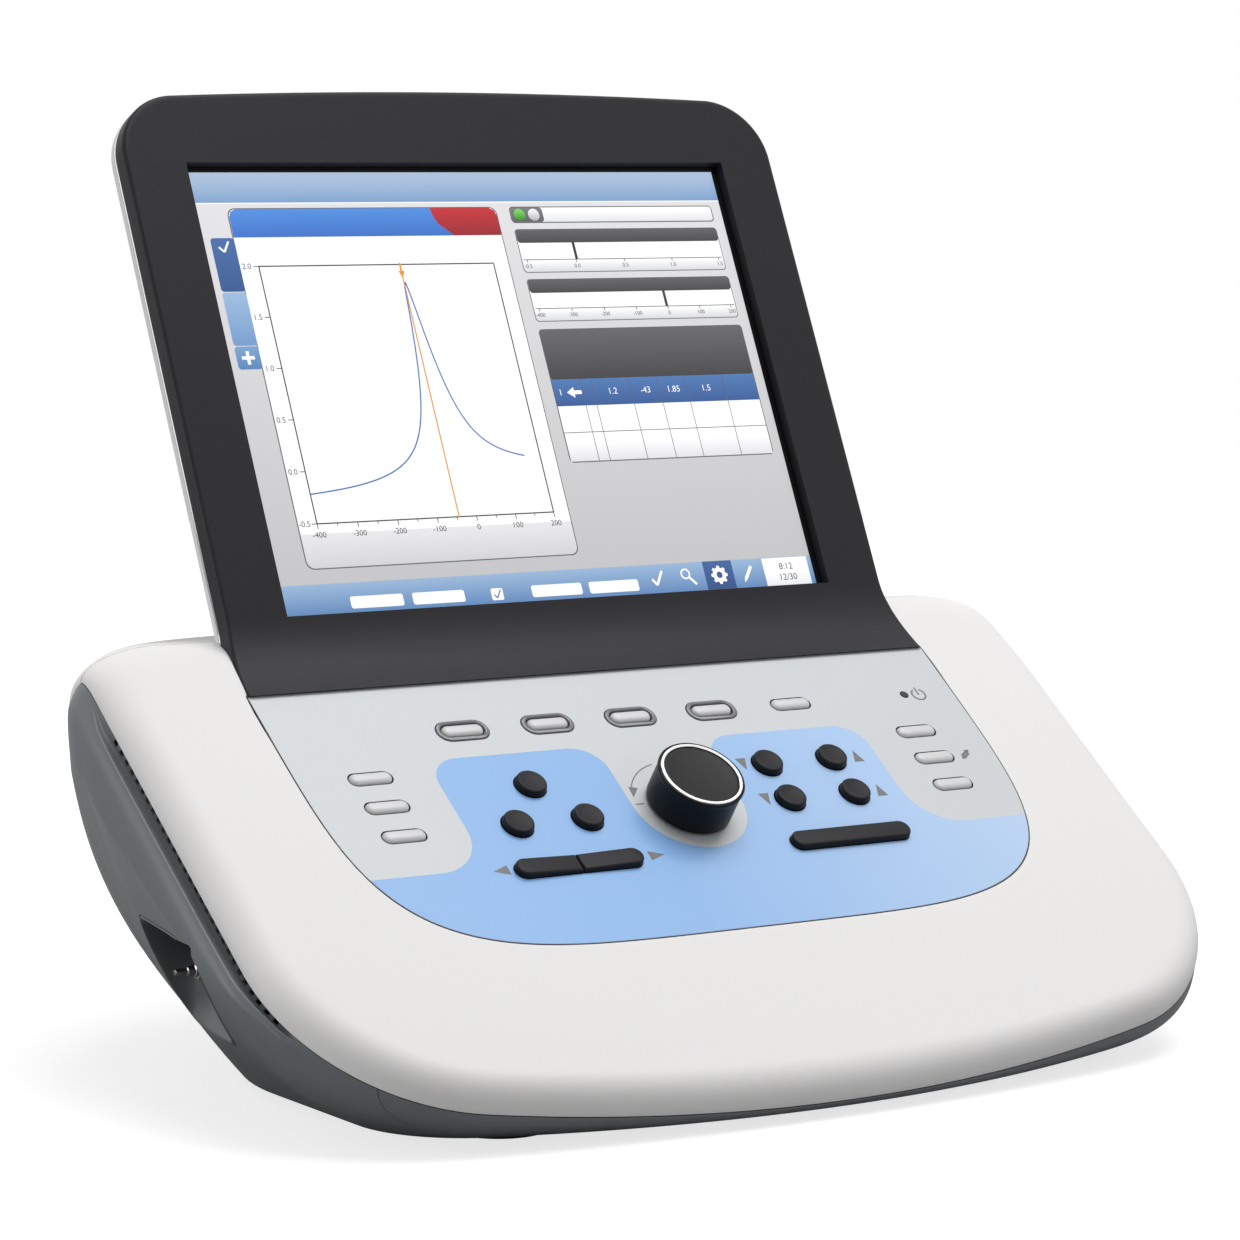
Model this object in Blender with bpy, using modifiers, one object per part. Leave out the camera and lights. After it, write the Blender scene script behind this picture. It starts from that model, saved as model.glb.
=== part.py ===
"""Clinical tympanometer: a desk instrument with a sloping control face and a leaning screen.

Metres, +Z up. The front faces -Y, and the feet stand on z = 0. The white covers are one sheet that
runs up the control face, over a shoulder and back, with a rounded rim. The grey housing hangs under
the rim like a hull. The screen stands on the shoulder, and its chin sweeps down to the face.
"""
import math

import bmesh
import bpy
import numpy as np
from mathutils import Matrix, Vector

mm = 0.001

# Clearances and walls
seat_gap = 0.3 * mm
weld = 0.01 * mm
overrun = 6 * mm
cover_wall = 2.5 * mm
housing_wall = 2.5 * mm
housing_floor = 1.6 * mm

# Display and its window, which set the width of everything round them
window_half_width = 108 * mm
window_height = 161.8 * mm
display_recess = 4.17 * mm
display_thickness = 7 * mm
display_side = 8 * mm
display_head = 7.2 * mm
display_foot = 2 * mm

# Bezel round the window, with the chin that sweeps down to the control face
bezel_side = 22.3 * mm
bezel_head = 25.2 * mm
bezel_crown = 2.2 * mm
bezel_corner = 23.5 * mm
bezel_depth = 6.5 * mm
bezel_wall = 2.5 * mm
chin_drop = 28.8 * mm
chin_rise = 9.5 * mm
chin_flare = 3.1 * mm
chin_dip = 3 * mm
screen_tail = 48 * mm
trim_thickness = 0.8 * mm
shell_wall = 2.5 * mm
shell_depth = 30.5 * mm
shell_depth_shares = (0, 0.1, 0.26, 0.56, 0.85, 1)
shell_draw = 52 * mm
shell_draw_shares = (0, 0, 0.1, 0.37, 0.71, 1)
bezel_half_width = window_half_width + bezel_side
bezel_top = window_height + bezel_head
display_half_width = window_half_width + display_side
display_high = window_height + display_head

# Control face, as wide as the foot of the chin
face_margin = 3 * mm
face_half_width = bezel_half_width + face_margin
face_length = 120.7 * mm
face_fullness = 4.6

# Outline of the covers on their skin, measured across and down the slope
side_shoulder = 45.2 * mm
front_apron = 66.3 * mm
front_corner_back = 80 * mm
front_corner_radius = 68 * mm
rear_reach = 131 * mm
rear_corner_back = 119 * mm
rear_fullness = 2.4
fan_run = 40 * mm
side_stations = 23
body_half_width = face_half_width + side_shoulder
body_front = face_length + front_apron
front_corner_run = body_front - front_corner_back
rear_corner_run = rear_reach - rear_corner_back

# Skin of the covers: the control face, the shoulder behind it and the falling top
face_slope = math.radians(36.55)
face_top_y = 10.5 * mm
front_edge_height = 13.63 * mm
face_top_z = front_edge_height + body_front * math.sin(face_slope)
shoulder_start = 15 * mm
shoulder_radius = 30 * mm
top_fall = math.radians(5)

# Rounded rim, which grows softer toward the rear
rim_inset = 10 * mm
rim_drop = 10 * mm
rear_rim_inset = 26 * mm
rear_rim_drop = 19 * mm
inset_grow_y = 0
inset_grow_run = 45 * mm
drop_grow_y = 36 * mm
drop_grow_run = 34 * mm
cover_split_y = 40.5 * mm

# Flat underside of the housing, drawn in all round from the covers' outline
foot_height = 3 * mm
side_tuck = 37.4 * mm
front_tuck = 56.2 * mm
rear_tuck = 38.2 * mm
base_corner_radius = 38 * mm
base_corner_back = 57.5 * mm
base_rear_back = 112 * mm
base_fullness = 2
base_fan_y = -32 * mm
hull_fullness = 2.35
hull_bulge = 6 * mm
bulge_place_share = 0.13
base_half_width = body_half_width - side_tuck
base_front = body_front - front_tuck
base_rear = rear_reach - rear_tuck
base_corner_run = base_front - base_corner_back
base_rear_run = base_rear - base_rear_back

# Finger channel along both sides, under the rim
channel_back = 1.2 * mm
channel_depth = 7 * mm
channel_round = 1.2 * mm
ridge_out = 3.2 * mm
ridge_down = 2.4 * mm
channel_front_back = 32.5 * mm
channel_front_run = 30 * mm
channel_rear_y = 13 * mm
channel_rear_run = 14 * mm
bulge_rear_y = 30 * mm
bulge_rear_run = 40 * mm
channel_front_y = channel_front_back - base_front

# Side panels
panel_front_back = 27.9 * mm
panel_rear_back = 34.8 * mm
panel_side_back = 88.5 * mm
sill_height = 3 * mm
panel_front_y = panel_front_back - base_front
panel_rear_y = base_rear - panel_rear_back
panel_inner_x = body_half_width - panel_side_back

# Vents through the channel's wall
vent_count = 29
vent_pitch = 4.6 * mm
vent_length = 2.2 * mm
vent_height = 2 * mm
vent_drop = 0.9 * mm
vent_first_run = 3.7 * mm

# Plate of the control face and what lies under it
panel_thickness = 2.5 * mm
frame_lap = 6 * mm
frame_thickness = 2 * mm
key_flange = 1 * mm
key_flange_out = 1 * mm
key_travel = 1.2 * mm
switch_height = 3.2 * mm
switch_side = 6 * mm
plunger_side = 3.4 * mm
board_thickness = 1.6 * mm
board_margin = 14 * mm

# Keys, knob and power light, placed by shares of the face's half width and length
row_key_shares = (-0.486, -0.243, 0, 0.243, 0.486)
row_run_share = 0.1889
lit_keys = 4
column_across_share = 0.8042
column_run_shares = (0.338, 0.4466, 0.5551)
oval_key_length = 15.8 * mm
oval_key_width = 5.5 * mm
oval_key_proud = 1.3 * mm
light_frame_length = 19.3 * mm
light_frame_width = 8.9 * mm
light_frame_inner_length = 16.4 * mm
light_frame_inner_width = 6.1 * mm
light_frame_proud = 0.5 * mm
round_key_radius = 5.1 * mm
round_key_proud = 2.4 * mm
round_key_shares = ((-0.3961, 0.4167), (-0.4944, 0.5559), (-0.2971, 0.5559), (0.2978, 0.4167),
                    (0.4944, 0.4167), (0.2978, 0.5559), (0.4944, 0.5559))
bar_key_length = 47.2 * mm
bar_key_width = 7.1 * mm
bar_key_proud = 2.35 * mm
bar_key_split = 0.5 * mm
bar_key_dip = 0.7 * mm
bar_across_share = 0.3961
bar_run_share = 0.7183
power_light_shares = (0.847, 0.1881)
power_light_radius = 1.45 * mm
knob_run_share = 0.541
knob_radius = 13.65 * mm
knob_rim_radius = 13.85 * mm
knob_ring_radius = 13.2 * mm
knob_cap_radius = 12 * mm
knob_ring_depth = 1.7 * mm
knob_height = 14.1 * mm
knob_lift = 0.7 * mm
knob_dish = 0.9 * mm
knob_bevel = 0.4 * mm
knob_cavity_radius = 11.2 * mm
knob_cavity_height = 9.6 * mm
knob_hub_radius = 5.4 * mm
shaft_radius = 3 * mm
encoder_side = 13 * mm
bush_radius = 4.7 * mm
bush_height = 2 * mm
bush_nut_radius = 7 * mm

# Screen head: its frame has its origin at the lower middle of the window
screen_lean = math.radians(24.93)
screen_back_of_face = 19.64 * mm
screen_over_face = 22.59 * mm
screen_y = face_top_y + screen_back_of_face
screen_z = face_top_z + screen_over_face

# Chassis tray, and the bracket that carries the display
tray_side_room = 46 * mm
tray_front_room = 42.5 * mm
tray_z = 9 * mm
tray_thickness = 1.5 * mm
tray_flange = 10 * mm
post_radius = 4 * mm
bracket_half_width = 60 * mm
bracket_thickness = 2 * mm
bracket_slot_gap = 2.5 * mm
bracket_foot = 16 * mm
bracket_behind_window = 14.86 * mm
bracket_y = screen_y + bracket_behind_window
tray_half_width = base_half_width - tray_side_room
tray_front_y = tray_front_room - base_front
tray_rear_y = bracket_y + bracket_foot + 2 * trim_thickness

# Boards, power supply and air pump on the tray
board_room = 6 * mm
board_left_share = 0.18
board_rear_y = 20 * mm
board_stand = 5 * mm
board_stand_radius = 2.5 * mm
board_stand_inset = 5 * mm
sink_side = 34 * mm
sink_base = 2 * mm
fin_height = 9 * mm
fin_thickness = 1.5 * mm
fin_count = 5
sink_right_of_middle = 18 * mm
supply_room = 6 * mm
supply_width_share = 0.62
supply_length = 44 * mm
supply_height = 30 * mm
supply_y = 20 * mm
supply_edge = 1 * mm
pump_room = 26 * mm
pump_back = 34 * mm
pump_radius = 13 * mm
pump_length_share = 0.42
pump_cradle = 3 * mm
pump_cradle_depth = 18 * mm
pump_boss_radius = 5 * mm
pump_boss = 3 * mm
pump_head_width = 18 * mm
pump_head_side = 30 * mm

# Left pocket with its air nipple
pocket_side_room = 27.5 * mm
pocket_wall = 1.6 * mm
pocket_lip = 0.5 * mm
mouth_upper_share = 0.456
mouth_lower_share = 0.181
mouth_front_y = -48 * mm
mouth_front_low_y = -26 * mm
mouth_rear_low_y = 24 * mm
mouth_rear_y = 12 * mm
mouth_corner = 5 * mm
floor_upper_share = 0.424
floor_lower_share = 0.2504
floor_front_y = -40 * mm
floor_front_low_y = -20 * mm
floor_rear_low_y = 13 * mm
floor_rear_y = 14.5 * mm
floor_corner = 2.5 * mm
nipple_y = 8.5 * mm
nipple_height_share = 0.3152
nipple_length = 8.4 * mm
nipple_radius = 1.5 * mm
nipple_thread = 2.6 * mm
nipple_barb = 0.4 * mm
nipple_nut = 4.3 * mm
nipple_nut_thickness = 2.4 * mm
nipple_inside = 7 * mm
tube_radius = 2.2 * mm
tube_bend = 20 * mm
pocket_floor_x = body_half_width - pocket_side_room
mouth_upper_z = face_top_z * mouth_upper_share
mouth_lower_z = face_top_z * mouth_lower_share
floor_upper_z = face_top_z * floor_upper_share
floor_lower_z = face_top_z * floor_lower_share
nipple_z = face_top_z * nipple_height_share

# Rear connector bay
bay_width_share = 0.4258
bay_low_share = 0.139
bay_high_share = 0.437
bay_plate_back = 46 * mm
bay_wall = 2 * mm
bay_half_width = body_half_width * bay_width_share
bay_low_z = face_top_z * bay_low_share
bay_high_z = face_top_z * bay_high_share
bay_plate_y = rear_reach - bay_plate_back

# Inlet, switch and sockets, placed by shares of the bay's half width
module_share = -0.5263
module_width = 54 * mm
module_height = 24 * mm
module_depth = 16 * mm
module_lip = 2.5 * mm
module_flange = 1.5 * mm
inlet_offset = -12 * mm
inlet_width = 24 * mm
inlet_height = 17 * mm
inlet_depth = 12 * mm
pin_thickness = 2 * mm
pin_width = 4 * mm
pin_length = 8 * mm
pin_spread = 7 * mm
pin_low = 2 * mm
pin_high = 3 * mm
switch_offset = 17 * mm
switch_angle = math.radians(8)
switch_pivot_in = 3 * mm
switch_well_width = 13 * mm
switch_well_height = 19 * mm
switch_dip = 1.2 * mm
switch_clear = 0.6 * mm
block_share = 0.2895
block_width = 34 * mm
block_height = 19 * mm
socket_shell = 1 * mm
socket_lip = 0.6 * mm
socket_body = 14 * mm
socket_depth = 10 * mm
flat_socket_width = 13 * mm
flat_socket_height = 6 * mm
network_width = 15 * mm
network_height = 13 * mm
jack_share = 0.7632
jack_radius = 5.5 * mm
jack_bore = 3.3 * mm
jack_nut = 7.5 * mm
jack_nut_depth = 2 * mm

# Feet
foot_radius = 16.5 * mm
foot_edge = 1 * mm
foot_front_tuck = 41 * mm
foot_rear_tuck = 63 * mm
foot_front_back = 42.5 * mm
foot_rear_back = 44.8 * mm

scene_objects = list(bpy.data.objects)
for old in scene_objects:
    bpy.data.objects.remove(old, do_unlink=True)

part_collection = bpy.data.collections.new("clinical_tympanometer")
cutter_collection = bpy.data.collections.new("cutters")
bpy.context.scene.collection.children.link(part_collection)
bpy.context.scene.collection.children.link(cutter_collection)


# Materials
def make_material(name, colour, roughness, metallic=0.0):
    material = bpy.data.materials.new(name)
    material.use_nodes = True
    shader = material.node_tree.nodes["Principled BSDF"]
    shader.inputs["Base Color"].default_value = (*colour, 1.0)
    shader.inputs["Roughness"].default_value = roughness
    shader.inputs["Metallic"].default_value = metallic
    return material


white_plastic = make_material("white_plastic", (0.83, 0.82, 0.82), 0.42)
housing_grey = make_material("housing_grey", (0.105, 0.115, 0.12), 0.5)
face_grey = make_material("face_grey", (0.66, 0.69, 0.71), 0.45)
key_grey = make_material("key_grey", (0.56, 0.56, 0.57), 0.4)
key_black = make_material("key_black", (0.018, 0.018, 0.02), 0.45)
light_frame = make_material("light_frame", (0.13, 0.13, 0.15), 0.2)
bezel_charcoal = make_material("bezel_charcoal", (0.035, 0.035, 0.04), 0.5)
bright_metal = make_material("bright_metal", (0.75, 0.75, 0.76), 0.2, 1.0)
steel = make_material("steel", (0.55, 0.56, 0.57), 0.35, 1.0)
screen_glass = make_material("screen_glass", (0.45, 0.48, 0.52), 0.25)
board_green = make_material("board_green", (0.03, 0.16, 0.07), 0.5)
soft_rubber = make_material("soft_rubber", (0.03, 0.03, 0.032), 0.75)
black_plastic = make_material("black_plastic", (0.03, 0.03, 0.033), 0.5)
lamp_lens = make_material("lamp_lens", (0.05, 0.07, 0.06), 0.15)


# Frames that pieces stand in
def add_frame(name, location, rotation=(0, 0, 0)):
    frame = bpy.data.objects.new(name, None)
    frame.location = location
    frame.rotation_euler = rotation
    part_collection.objects.link(frame)
    return frame


face_frame = add_frame("face_frame", (0, face_top_y, face_top_z), (face_slope, 0, 0))
screen_frame = add_frame("screen_frame", (0, screen_y, screen_z), (math.pi / 2 - screen_lean, 0, 0))
side_on = (math.pi / 2, 0, math.pi / 2)


# Objects from meshes, rings, flat outlines and turned profiles
def add_mesh(name, shape, material, parent=None, location=(0, 0, 0), rotation=(0, 0, 0)):
    mesh = bpy.data.meshes.new(name)
    shape.to_mesh(mesh)
    shape.free()
    return add_object(name, mesh, material, parent, location, rotation)


def add_object(name, mesh, material, parent=None, location=(0, 0, 0), rotation=(0, 0, 0)):
    piece = bpy.data.objects.new(name, mesh)
    piece.location = location
    piece.rotation_euler = rotation
    piece.parent = parent
    if material is None:
        cutter_collection.objects.link(piece)
        piece.hide_render = True
        piece.display_type = "WIRE"
    else:
        mesh.materials.append(material)
        part_collection.objects.link(piece)
    return piece


def soften(piece, angle=math.radians(35)):
    piece.data.shade_smooth()
    piece.data.set_sharp_from_angle(angle=angle)
    return piece


def add_rings(shape, rings, caps=True, loop=False):
    """Skin through rings of equal length, closed by flat caps or back onto the first ring."""
    caps = caps and not loop
    rows = [[shape.verts.new(point) for point in ring] for ring in rings]
    pairs = list(zip(rows, rows[1:]))
    if loop:
        pairs.append((rows[-1], rows[0]))
    faces = []
    for low, high in pairs:
        for index in range(len(low)):
            after = (index + 1) % len(low)
            faces.append(shape.faces.new((low[index], low[after], high[after], high[index])))
    if caps:
        faces.append(shape.faces.new(rows[0][::-1]))
        faces.append(shape.faces.new(rows[-1]))
    bmesh.ops.recalc_face_normals(shape, faces=faces)


def ringed(name, rings, material, parent=None, location=(0, 0, 0), rotation=(0, 0, 0), loop=False):
    shape = bmesh.new()
    add_rings(shape, rings, caps=not loop, loop=loop)
    return add_mesh(name, shape, material, parent, location, rotation)


def add_box(shape, size, centre):
    matrix = Matrix.Translation(centre) @ Matrix.Diagonal((*size, 1))
    return bmesh.ops.create_cube(shape, size=1, matrix=matrix)["verts"]


def add_rod(shape, radius, length, centre, segments=12, turn=None):
    matrix = Matrix.Translation(centre)
    if turn is not None:
        matrix = matrix @ turn
    bmesh.ops.create_cone(shape, cap_ends=True, segments=segments, radius1=radius, radius2=radius,
                          depth=length, matrix=matrix)


def boxed(name, size, centre, material, parent=None, location=(0, 0, 0)):
    shape = bmesh.new()
    add_box(shape, size, centre)
    return add_mesh(name, shape, material, parent, location)


def flat_piece(name, outlines, thickness, material, parent=None, location=(0, 0, 0),
               rotation=(0, 0, 0)):
    """A flat outline with its holes, as thick as given and centred on its own plane."""
    curve = bpy.data.curves.new(name, "CURVE")
    curve.dimensions = "2D"
    curve.fill_mode = "BOTH"
    curve.extrude = thickness / 2
    for outline in outlines:
        spline = curve.splines.new("POLY")
        spline.points.add(len(outline) - 1)
        for point, place in zip(spline.points, outline):
            point.co = (place[0], place[1], 0, 1)
        spline.use_cyclic_u = True
    drawn = bpy.data.objects.new(name, curve)
    bpy.context.scene.collection.objects.link(drawn)
    evaluated = drawn.evaluated_get(bpy.context.evaluated_depsgraph_get())
    mesh = bpy.data.meshes.new_from_object(evaluated)
    bpy.data.objects.remove(drawn)
    mesh.name = name
    mesh.materials.clear()
    shape = bmesh.new()
    shape.from_mesh(mesh)
    bmesh.ops.remove_doubles(shape, verts=shape.verts, dist=weld)
    bmesh.ops.recalc_face_normals(shape, faces=shape.faces)
    shape.to_mesh(mesh)
    shape.free()
    return add_object(name, mesh, material, parent, location, rotation)


def turned(name, profile, steps, material, parent=None, location=(0, 0, 0), rotation=(0, 0, 0),
           closed=False):
    """A profile of (radius, height) spun about its own Z axis."""
    shape = bmesh.new()
    points = [shape.verts.new((radius, 0, height)) for radius, height in profile]
    for start, end in zip(points, points[1:]):
        shape.edges.new((start, end))
    if closed:
        shape.edges.new((points[-1], points[0]))
    piece = add_mesh(name, shape, material, parent, location, rotation)
    spin = piece.modifiers.new("spin", "SCREW")
    spin.steps = steps
    spin.render_steps = steps
    spin.use_merge_vertices = True
    spin.merge_threshold = weld
    return piece


def cut(piece, cutter, operation="DIFFERENCE", solver="EXACT"):
    step = piece.modifiers.new(cutter.name, "BOOLEAN")
    step.operation = operation
    step.solver = solver
    step.object = cutter
    return piece


def unite(piece, addition):
    return cut(piece, addition, "UNION")


def spun(profile, segments, centre, turn=None):
    """Rings of a profile of (radius, height) about Z at a centre, for pieces that share a node."""
    turn = turn or Matrix.Identity(3)
    return [[Vector(centre) + turn @ Vector((x, y, height)) for x, y in circle(radius, segments)]
            for radius, height in profile]


# Outlines
def circle(radius, segments, centre=(0, 0)):
    turns = [2 * math.pi * step / segments for step in range(segments)]
    return [(centre[0] + radius * math.cos(turn), centre[1] + radius * math.sin(turn)) for turn in turns]


def stadium(length, width, end_segments=4, centre=(0, 0)):
    """Bar with round ends along X."""
    radius = width / 2
    reach = length / 2 - radius
    points = []
    for side in (1, -1):
        for step in range(end_segments + 1):
            turn = math.pi * step / end_segments - math.pi / 2
            points.append((centre[0] + side * (reach + radius * math.cos(turn)),
                           centre[1] + side * radius * math.sin(turn)))
    return points


def square(side, centre):
    half = side / 2
    return [(centre[0] - half, centre[1] - half), (centre[0] + half, centre[1] - half),
            (centre[0] + half, centre[1] + half), (centre[0] - half, centre[1] + half)]


def rounded_box(width, height, radius, corner_segments=4, centre=(0, 0)):
    points = []
    for quarter, (side_x, side_y) in enumerate(((1, 1), (-1, 1), (-1, -1), (1, -1))):
        for step in range(corner_segments + 1):
            turn = math.pi / 2 * (quarter + step / corner_segments)
            points.append((centre[0] + side_x * (width / 2 - radius) + radius * math.cos(turn),
                           centre[1] + side_y * (height / 2 - radius) + radius * math.sin(turn)))
    return points


def raised(outline, height):
    return [(x, y, height) for x, y in outline]


# Shape of the body
def smooth(share):
    share = min(1, max(0, share))
    return share * share * (3 - 2 * share)


def skin_point(run):
    """Height line of the covers at a distance down the slope: (y, z, slope)."""
    if run > -shoulder_start:
        return (face_top_y - run * math.cos(face_slope), face_top_z - run * math.sin(face_slope),
                face_slope)
    start_y = face_top_y + shoulder_start * math.cos(face_slope)
    start_z = face_top_z + shoulder_start * math.sin(face_slope)
    along = -run - shoulder_start
    turn = min(along / shoulder_radius, face_slope + top_fall)
    slope = face_slope - turn
    flat = along - shoulder_radius * turn
    y = start_y + shoulder_radius * (math.sin(face_slope) - math.sin(slope))
    z = start_z + shoulder_radius * (math.cos(slope) - math.cos(face_slope))
    return y + flat * math.cos(top_fall), z - flat * math.sin(top_fall), slope


def on_skin(across, run, depth):
    y, z, slope = skin_point(run)
    return across, y + depth * math.sin(slope), z - depth * math.cos(slope)


def half_outline(half_width, front, corner_run, radius, rear_run, rear, fullness):
    """One half of a body outline, from the middle of the front to the middle of the rear."""
    centre_x = half_width - radius
    depth = front - corner_run
    front_radius = (centre_x ** 2 + depth ** 2 - radius ** 2) / (2 * (depth - radius))
    turn = math.asin(centre_x / (front_radius - radius))
    points = [(front_radius * math.sin(t), front - front_radius * (1 - math.cos(t)))
              for t in np.linspace(0, turn, 16)[:-1]]
    points += [(centre_x + radius * math.sin(t), corner_run + radius * math.cos(t))
               for t in np.linspace(turn, math.pi / 2, 24)]
    points += [(half_width, t) for t in np.linspace(corner_run, rear_run, 16)[1:-1]]
    power = 2 / fullness
    reach = rear - rear_run
    points += [(half_width * max(0, math.cos(t)) ** power, rear_run + reach * math.sin(t) ** power)
               for t in np.linspace(0, math.pi / 2, 60)]
    return np.array(points)


def station_angles(outline, centre, steps):
    """Directions of the body's stations, closer together where its outline turns."""
    legs = np.diff(outline, axis=0)
    lengths = np.hypot(legs[:, 0], legs[:, 1])
    headings = np.unwrap(np.arctan2(legs[:, 1], legs[:, 0]))
    turning = np.abs(np.gradient(headings))
    effort = np.concatenate(([0], np.cumsum(lengths / lengths.sum() + turning / turning.sum())))
    places = np.linspace(0, effort[-1], steps + 1)
    across = np.interp(places, effort, outline[:, 0])
    down = np.interp(places, effort, outline[:, 1])
    half = np.arctan2(across, down - centre)
    return np.concatenate((half, -half[-2:0:-1]))


def fan(outline, centre, angles):
    """Points where an outline's mirrored halves are met by rays from (0, centre)."""
    bearings = np.arctan2(outline[:, 0], outline[:, 1] - centre)
    reaches = np.hypot(outline[:, 0], outline[:, 1] - centre)
    folded = np.abs((angles + math.pi) % (2 * math.pi) - math.pi)
    reach = np.interp(folded, bearings, reaches)
    return np.stack((reach * np.sin(angles), centre + reach * np.cos(angles)), 1)


def face_outline(grow, points_per_side=26):
    """Half outline of the control face on the slope, from the front middle to the rear middle."""
    power = 2 / face_fullness
    half = [((face_half_width + grow) * math.sin(t) ** power,
             (face_length + grow) * max(0, math.cos(t)) ** power)
            for t in np.linspace(0, math.pi / 2, points_per_side)]
    half = [(across, run) for across, run in half if run > -grow]
    half.append((face_half_width + grow, -grow))
    half.append((0, -grow))
    return np.array(half)


def face_ring(grow, points_per_side=18):
    """The whole outline in the face frame, whose Y runs up the slope."""
    half = face_outline(grow, points_per_side)[:-1]
    right = [(across, -run) for across, run in half]
    left = [(-across, -run) for across, run in half[:0:-1]]
    return right + left


cover_outline = half_outline(body_half_width, body_front, front_corner_run, front_corner_radius,
                             -rear_corner_run, -rear_reach, rear_fullness)
base_outline = half_outline(base_half_width, base_front, base_corner_run, base_corner_radius,
                            -base_rear_run, -base_rear, base_fullness)
stations = station_angles(cover_outline, fan_run, side_stations)


def rim_size(y):
    inset = rim_inset + (rear_rim_inset - rim_inset) * smooth((y - inset_grow_y) / inset_grow_run)
    drop = rim_drop + (rear_rim_drop - rim_drop) * smooth((y - drop_grow_y) / drop_grow_run)
    return inset, drop


def cover_rings(sheet_shares, outer_turns, inner_turns):
    """Rings of the white shell: out over the sheet, round the rim, and back inside."""
    edge = fan(cover_outline, fan_run, stations)
    opening = fan(face_outline(-frame_lap), fan_run, stations)
    rings = []
    centre = np.array((0, fan_run))

    def sheet_ring(share, depth):
        ring = []
        for rim, mouth in zip(edge, opening):
            inset = rim_size(skin_point(rim[1])[0])[0]
            inward = (centre - rim) / np.linalg.norm(centre - rim)
            place = mouth + (rim + inward * inset - mouth) * share
            ring.append(on_skin(place[0], place[1], depth))
        return ring

    def rim_ring(turn, wall):
        ring = []
        for rim in edge:
            inset, drop = rim_size(skin_point(rim[1])[0])
            inward = (centre - rim) / np.linalg.norm(centre - rim)
            place = rim + inward * (inset - (inset - wall) * math.sin(turn))
            ring.append(on_skin(place[0], place[1], drop - (drop - wall) * math.cos(turn)))
        return ring

    for share in sheet_shares:
        rings.append(sheet_ring(share, 0))
    for turn in outer_turns:
        rings.append(rim_ring(turn, 0))
    for turn in inner_turns:
        rings.append(rim_ring(turn, cover_wall))
    for share in sheet_shares[-2::-1]:
        rings.append(sheet_ring(share, cover_wall))
    return rings


def seam_points(wall=0):
    """Lower edge of the white rim at each station, or a point of its underside further in."""
    points = []
    for across, run in fan(cover_outline, fan_run, stations):
        drop = rim_size(skin_point(run)[0])[1]
        inward = wall / math.hypot(across, run - fan_run)
        points.append(on_skin(across * (1 - inward), run - (run - fan_run) * inward, drop))
    return points


def channel_section():
    """Finger channel under the rim as (out, down) from the seam, from its inner edge outward."""
    return ((-channel_back, seat_gap),
            (-channel_back, channel_depth - channel_round),
            (channel_round - channel_back, channel_depth),
            (ridge_out / 2, channel_depth - channel_round),
            (ridge_out - channel_round / 2, ridge_down + channel_round / 2),
            (ridge_out + channel_round / 3, ridge_down),
            (ridge_out + channel_round, ridge_down + channel_round),
            (ridge_out + 2 * channel_round, ridge_down + 4 * channel_round))


plain_shares = (0, 0.012, 0.025, 0.04, 0.055, 0.075, 0.095, 0.12)
lower_shares = (0.2, 0.32, 0.46, 0.62, 0.8, 1)
inner_shares = (0.1, 0.35, 0.65, 1)


class HullStation:
    """One upright section of the hull, from the seam down to the flat underside."""

    def __init__(self, seam, rim_inside, grow):
        self.grow = grow
        self.top = seam[2] - seat_gap
        self.inner_top = min(seam[2], rim_inside[2]) - seat_gap
        bearing = math.atan2(seam[0], base_fan_y - seam[1])
        foot = fan(base_outline, -base_fan_y, np.array([bearing]))[0]
        self.edge = np.array(seam[:2])
        offset = self.edge - np.array((foot[0], -foot[1]))
        self.reach = np.linalg.norm(offset)
        self.outward = offset / self.reach
        y = seam[1]
        front = smooth((y - channel_front_y) / channel_front_run)
        self.channel = front * (1 - smooth((y - channel_rear_y) / channel_rear_run))
        self.bulge = front * (1 - smooth((y - bulge_rear_y) / bulge_rear_run))

    def out(self, share):
        """How far the hull stands out from the seam at a share of its height."""
        place = share / bulge_place_share
        swell = place * math.exp(1 - place) * (1 - share) / (1 - bulge_place_share)
        return (hull_bulge * self.bulge * swell - self.reach * share ** hull_fullness
                + ridge_out * self.channel * (1 - share) ** 2)

    def place(self, out, z):
        x, y = self.edge + self.outward * (out + self.grow)
        return x, y, z

    def level(self, share, bottom, wall):
        return self.place(self.out(share) - wall, self.top + (bottom - self.top) * share)

    def upper(self, share, section):
        """A point of the channel where there is one, and of the plain hull elsewhere."""
        out = self.channel * section[0] + (1 - self.channel) * self.out(share)
        down = self.channel * (section[1] - seat_gap) + (1 - self.channel) * share * (self.top - foot_height)
        return self.place(out, self.top - down)


def hull_stations(grow=0):
    return [HullStation(seam, inside, grow) for seam, inside in zip(seam_points(), seam_points(cover_wall))]


def outer_hull_rings(grow=0):
    sections = hull_stations(grow)
    rings = [[section.upper(share, point) for section in sections]
             for share, point in zip(plain_shares, channel_section())]
    rings += [[section.level(share, foot_height, 0) for section in sections] for share in lower_shares]
    return rings


def inner_hull_rings():
    """Inside of the housing, from its floor up to the seam."""
    floor_z = foot_height + housing_floor
    sections = hull_stations()
    rings = [[section.level(share, floor_z, housing_wall) for section in sections]
             for share in inner_shares[:0:-1]]
    behind = channel_depth + housing_wall
    back = channel_back + housing_wall
    rings.append([section.place(-housing_wall - channel_back * section.channel,
                                section.top - section.channel * behind
                                - (1 - section.channel) * inner_shares[0] * (section.top - floor_z))
                  for section in sections])
    rings.append([section.place(-housing_wall - (back - housing_wall) * section.channel, section.inner_top)
                  for section in sections])
    return rings


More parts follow.
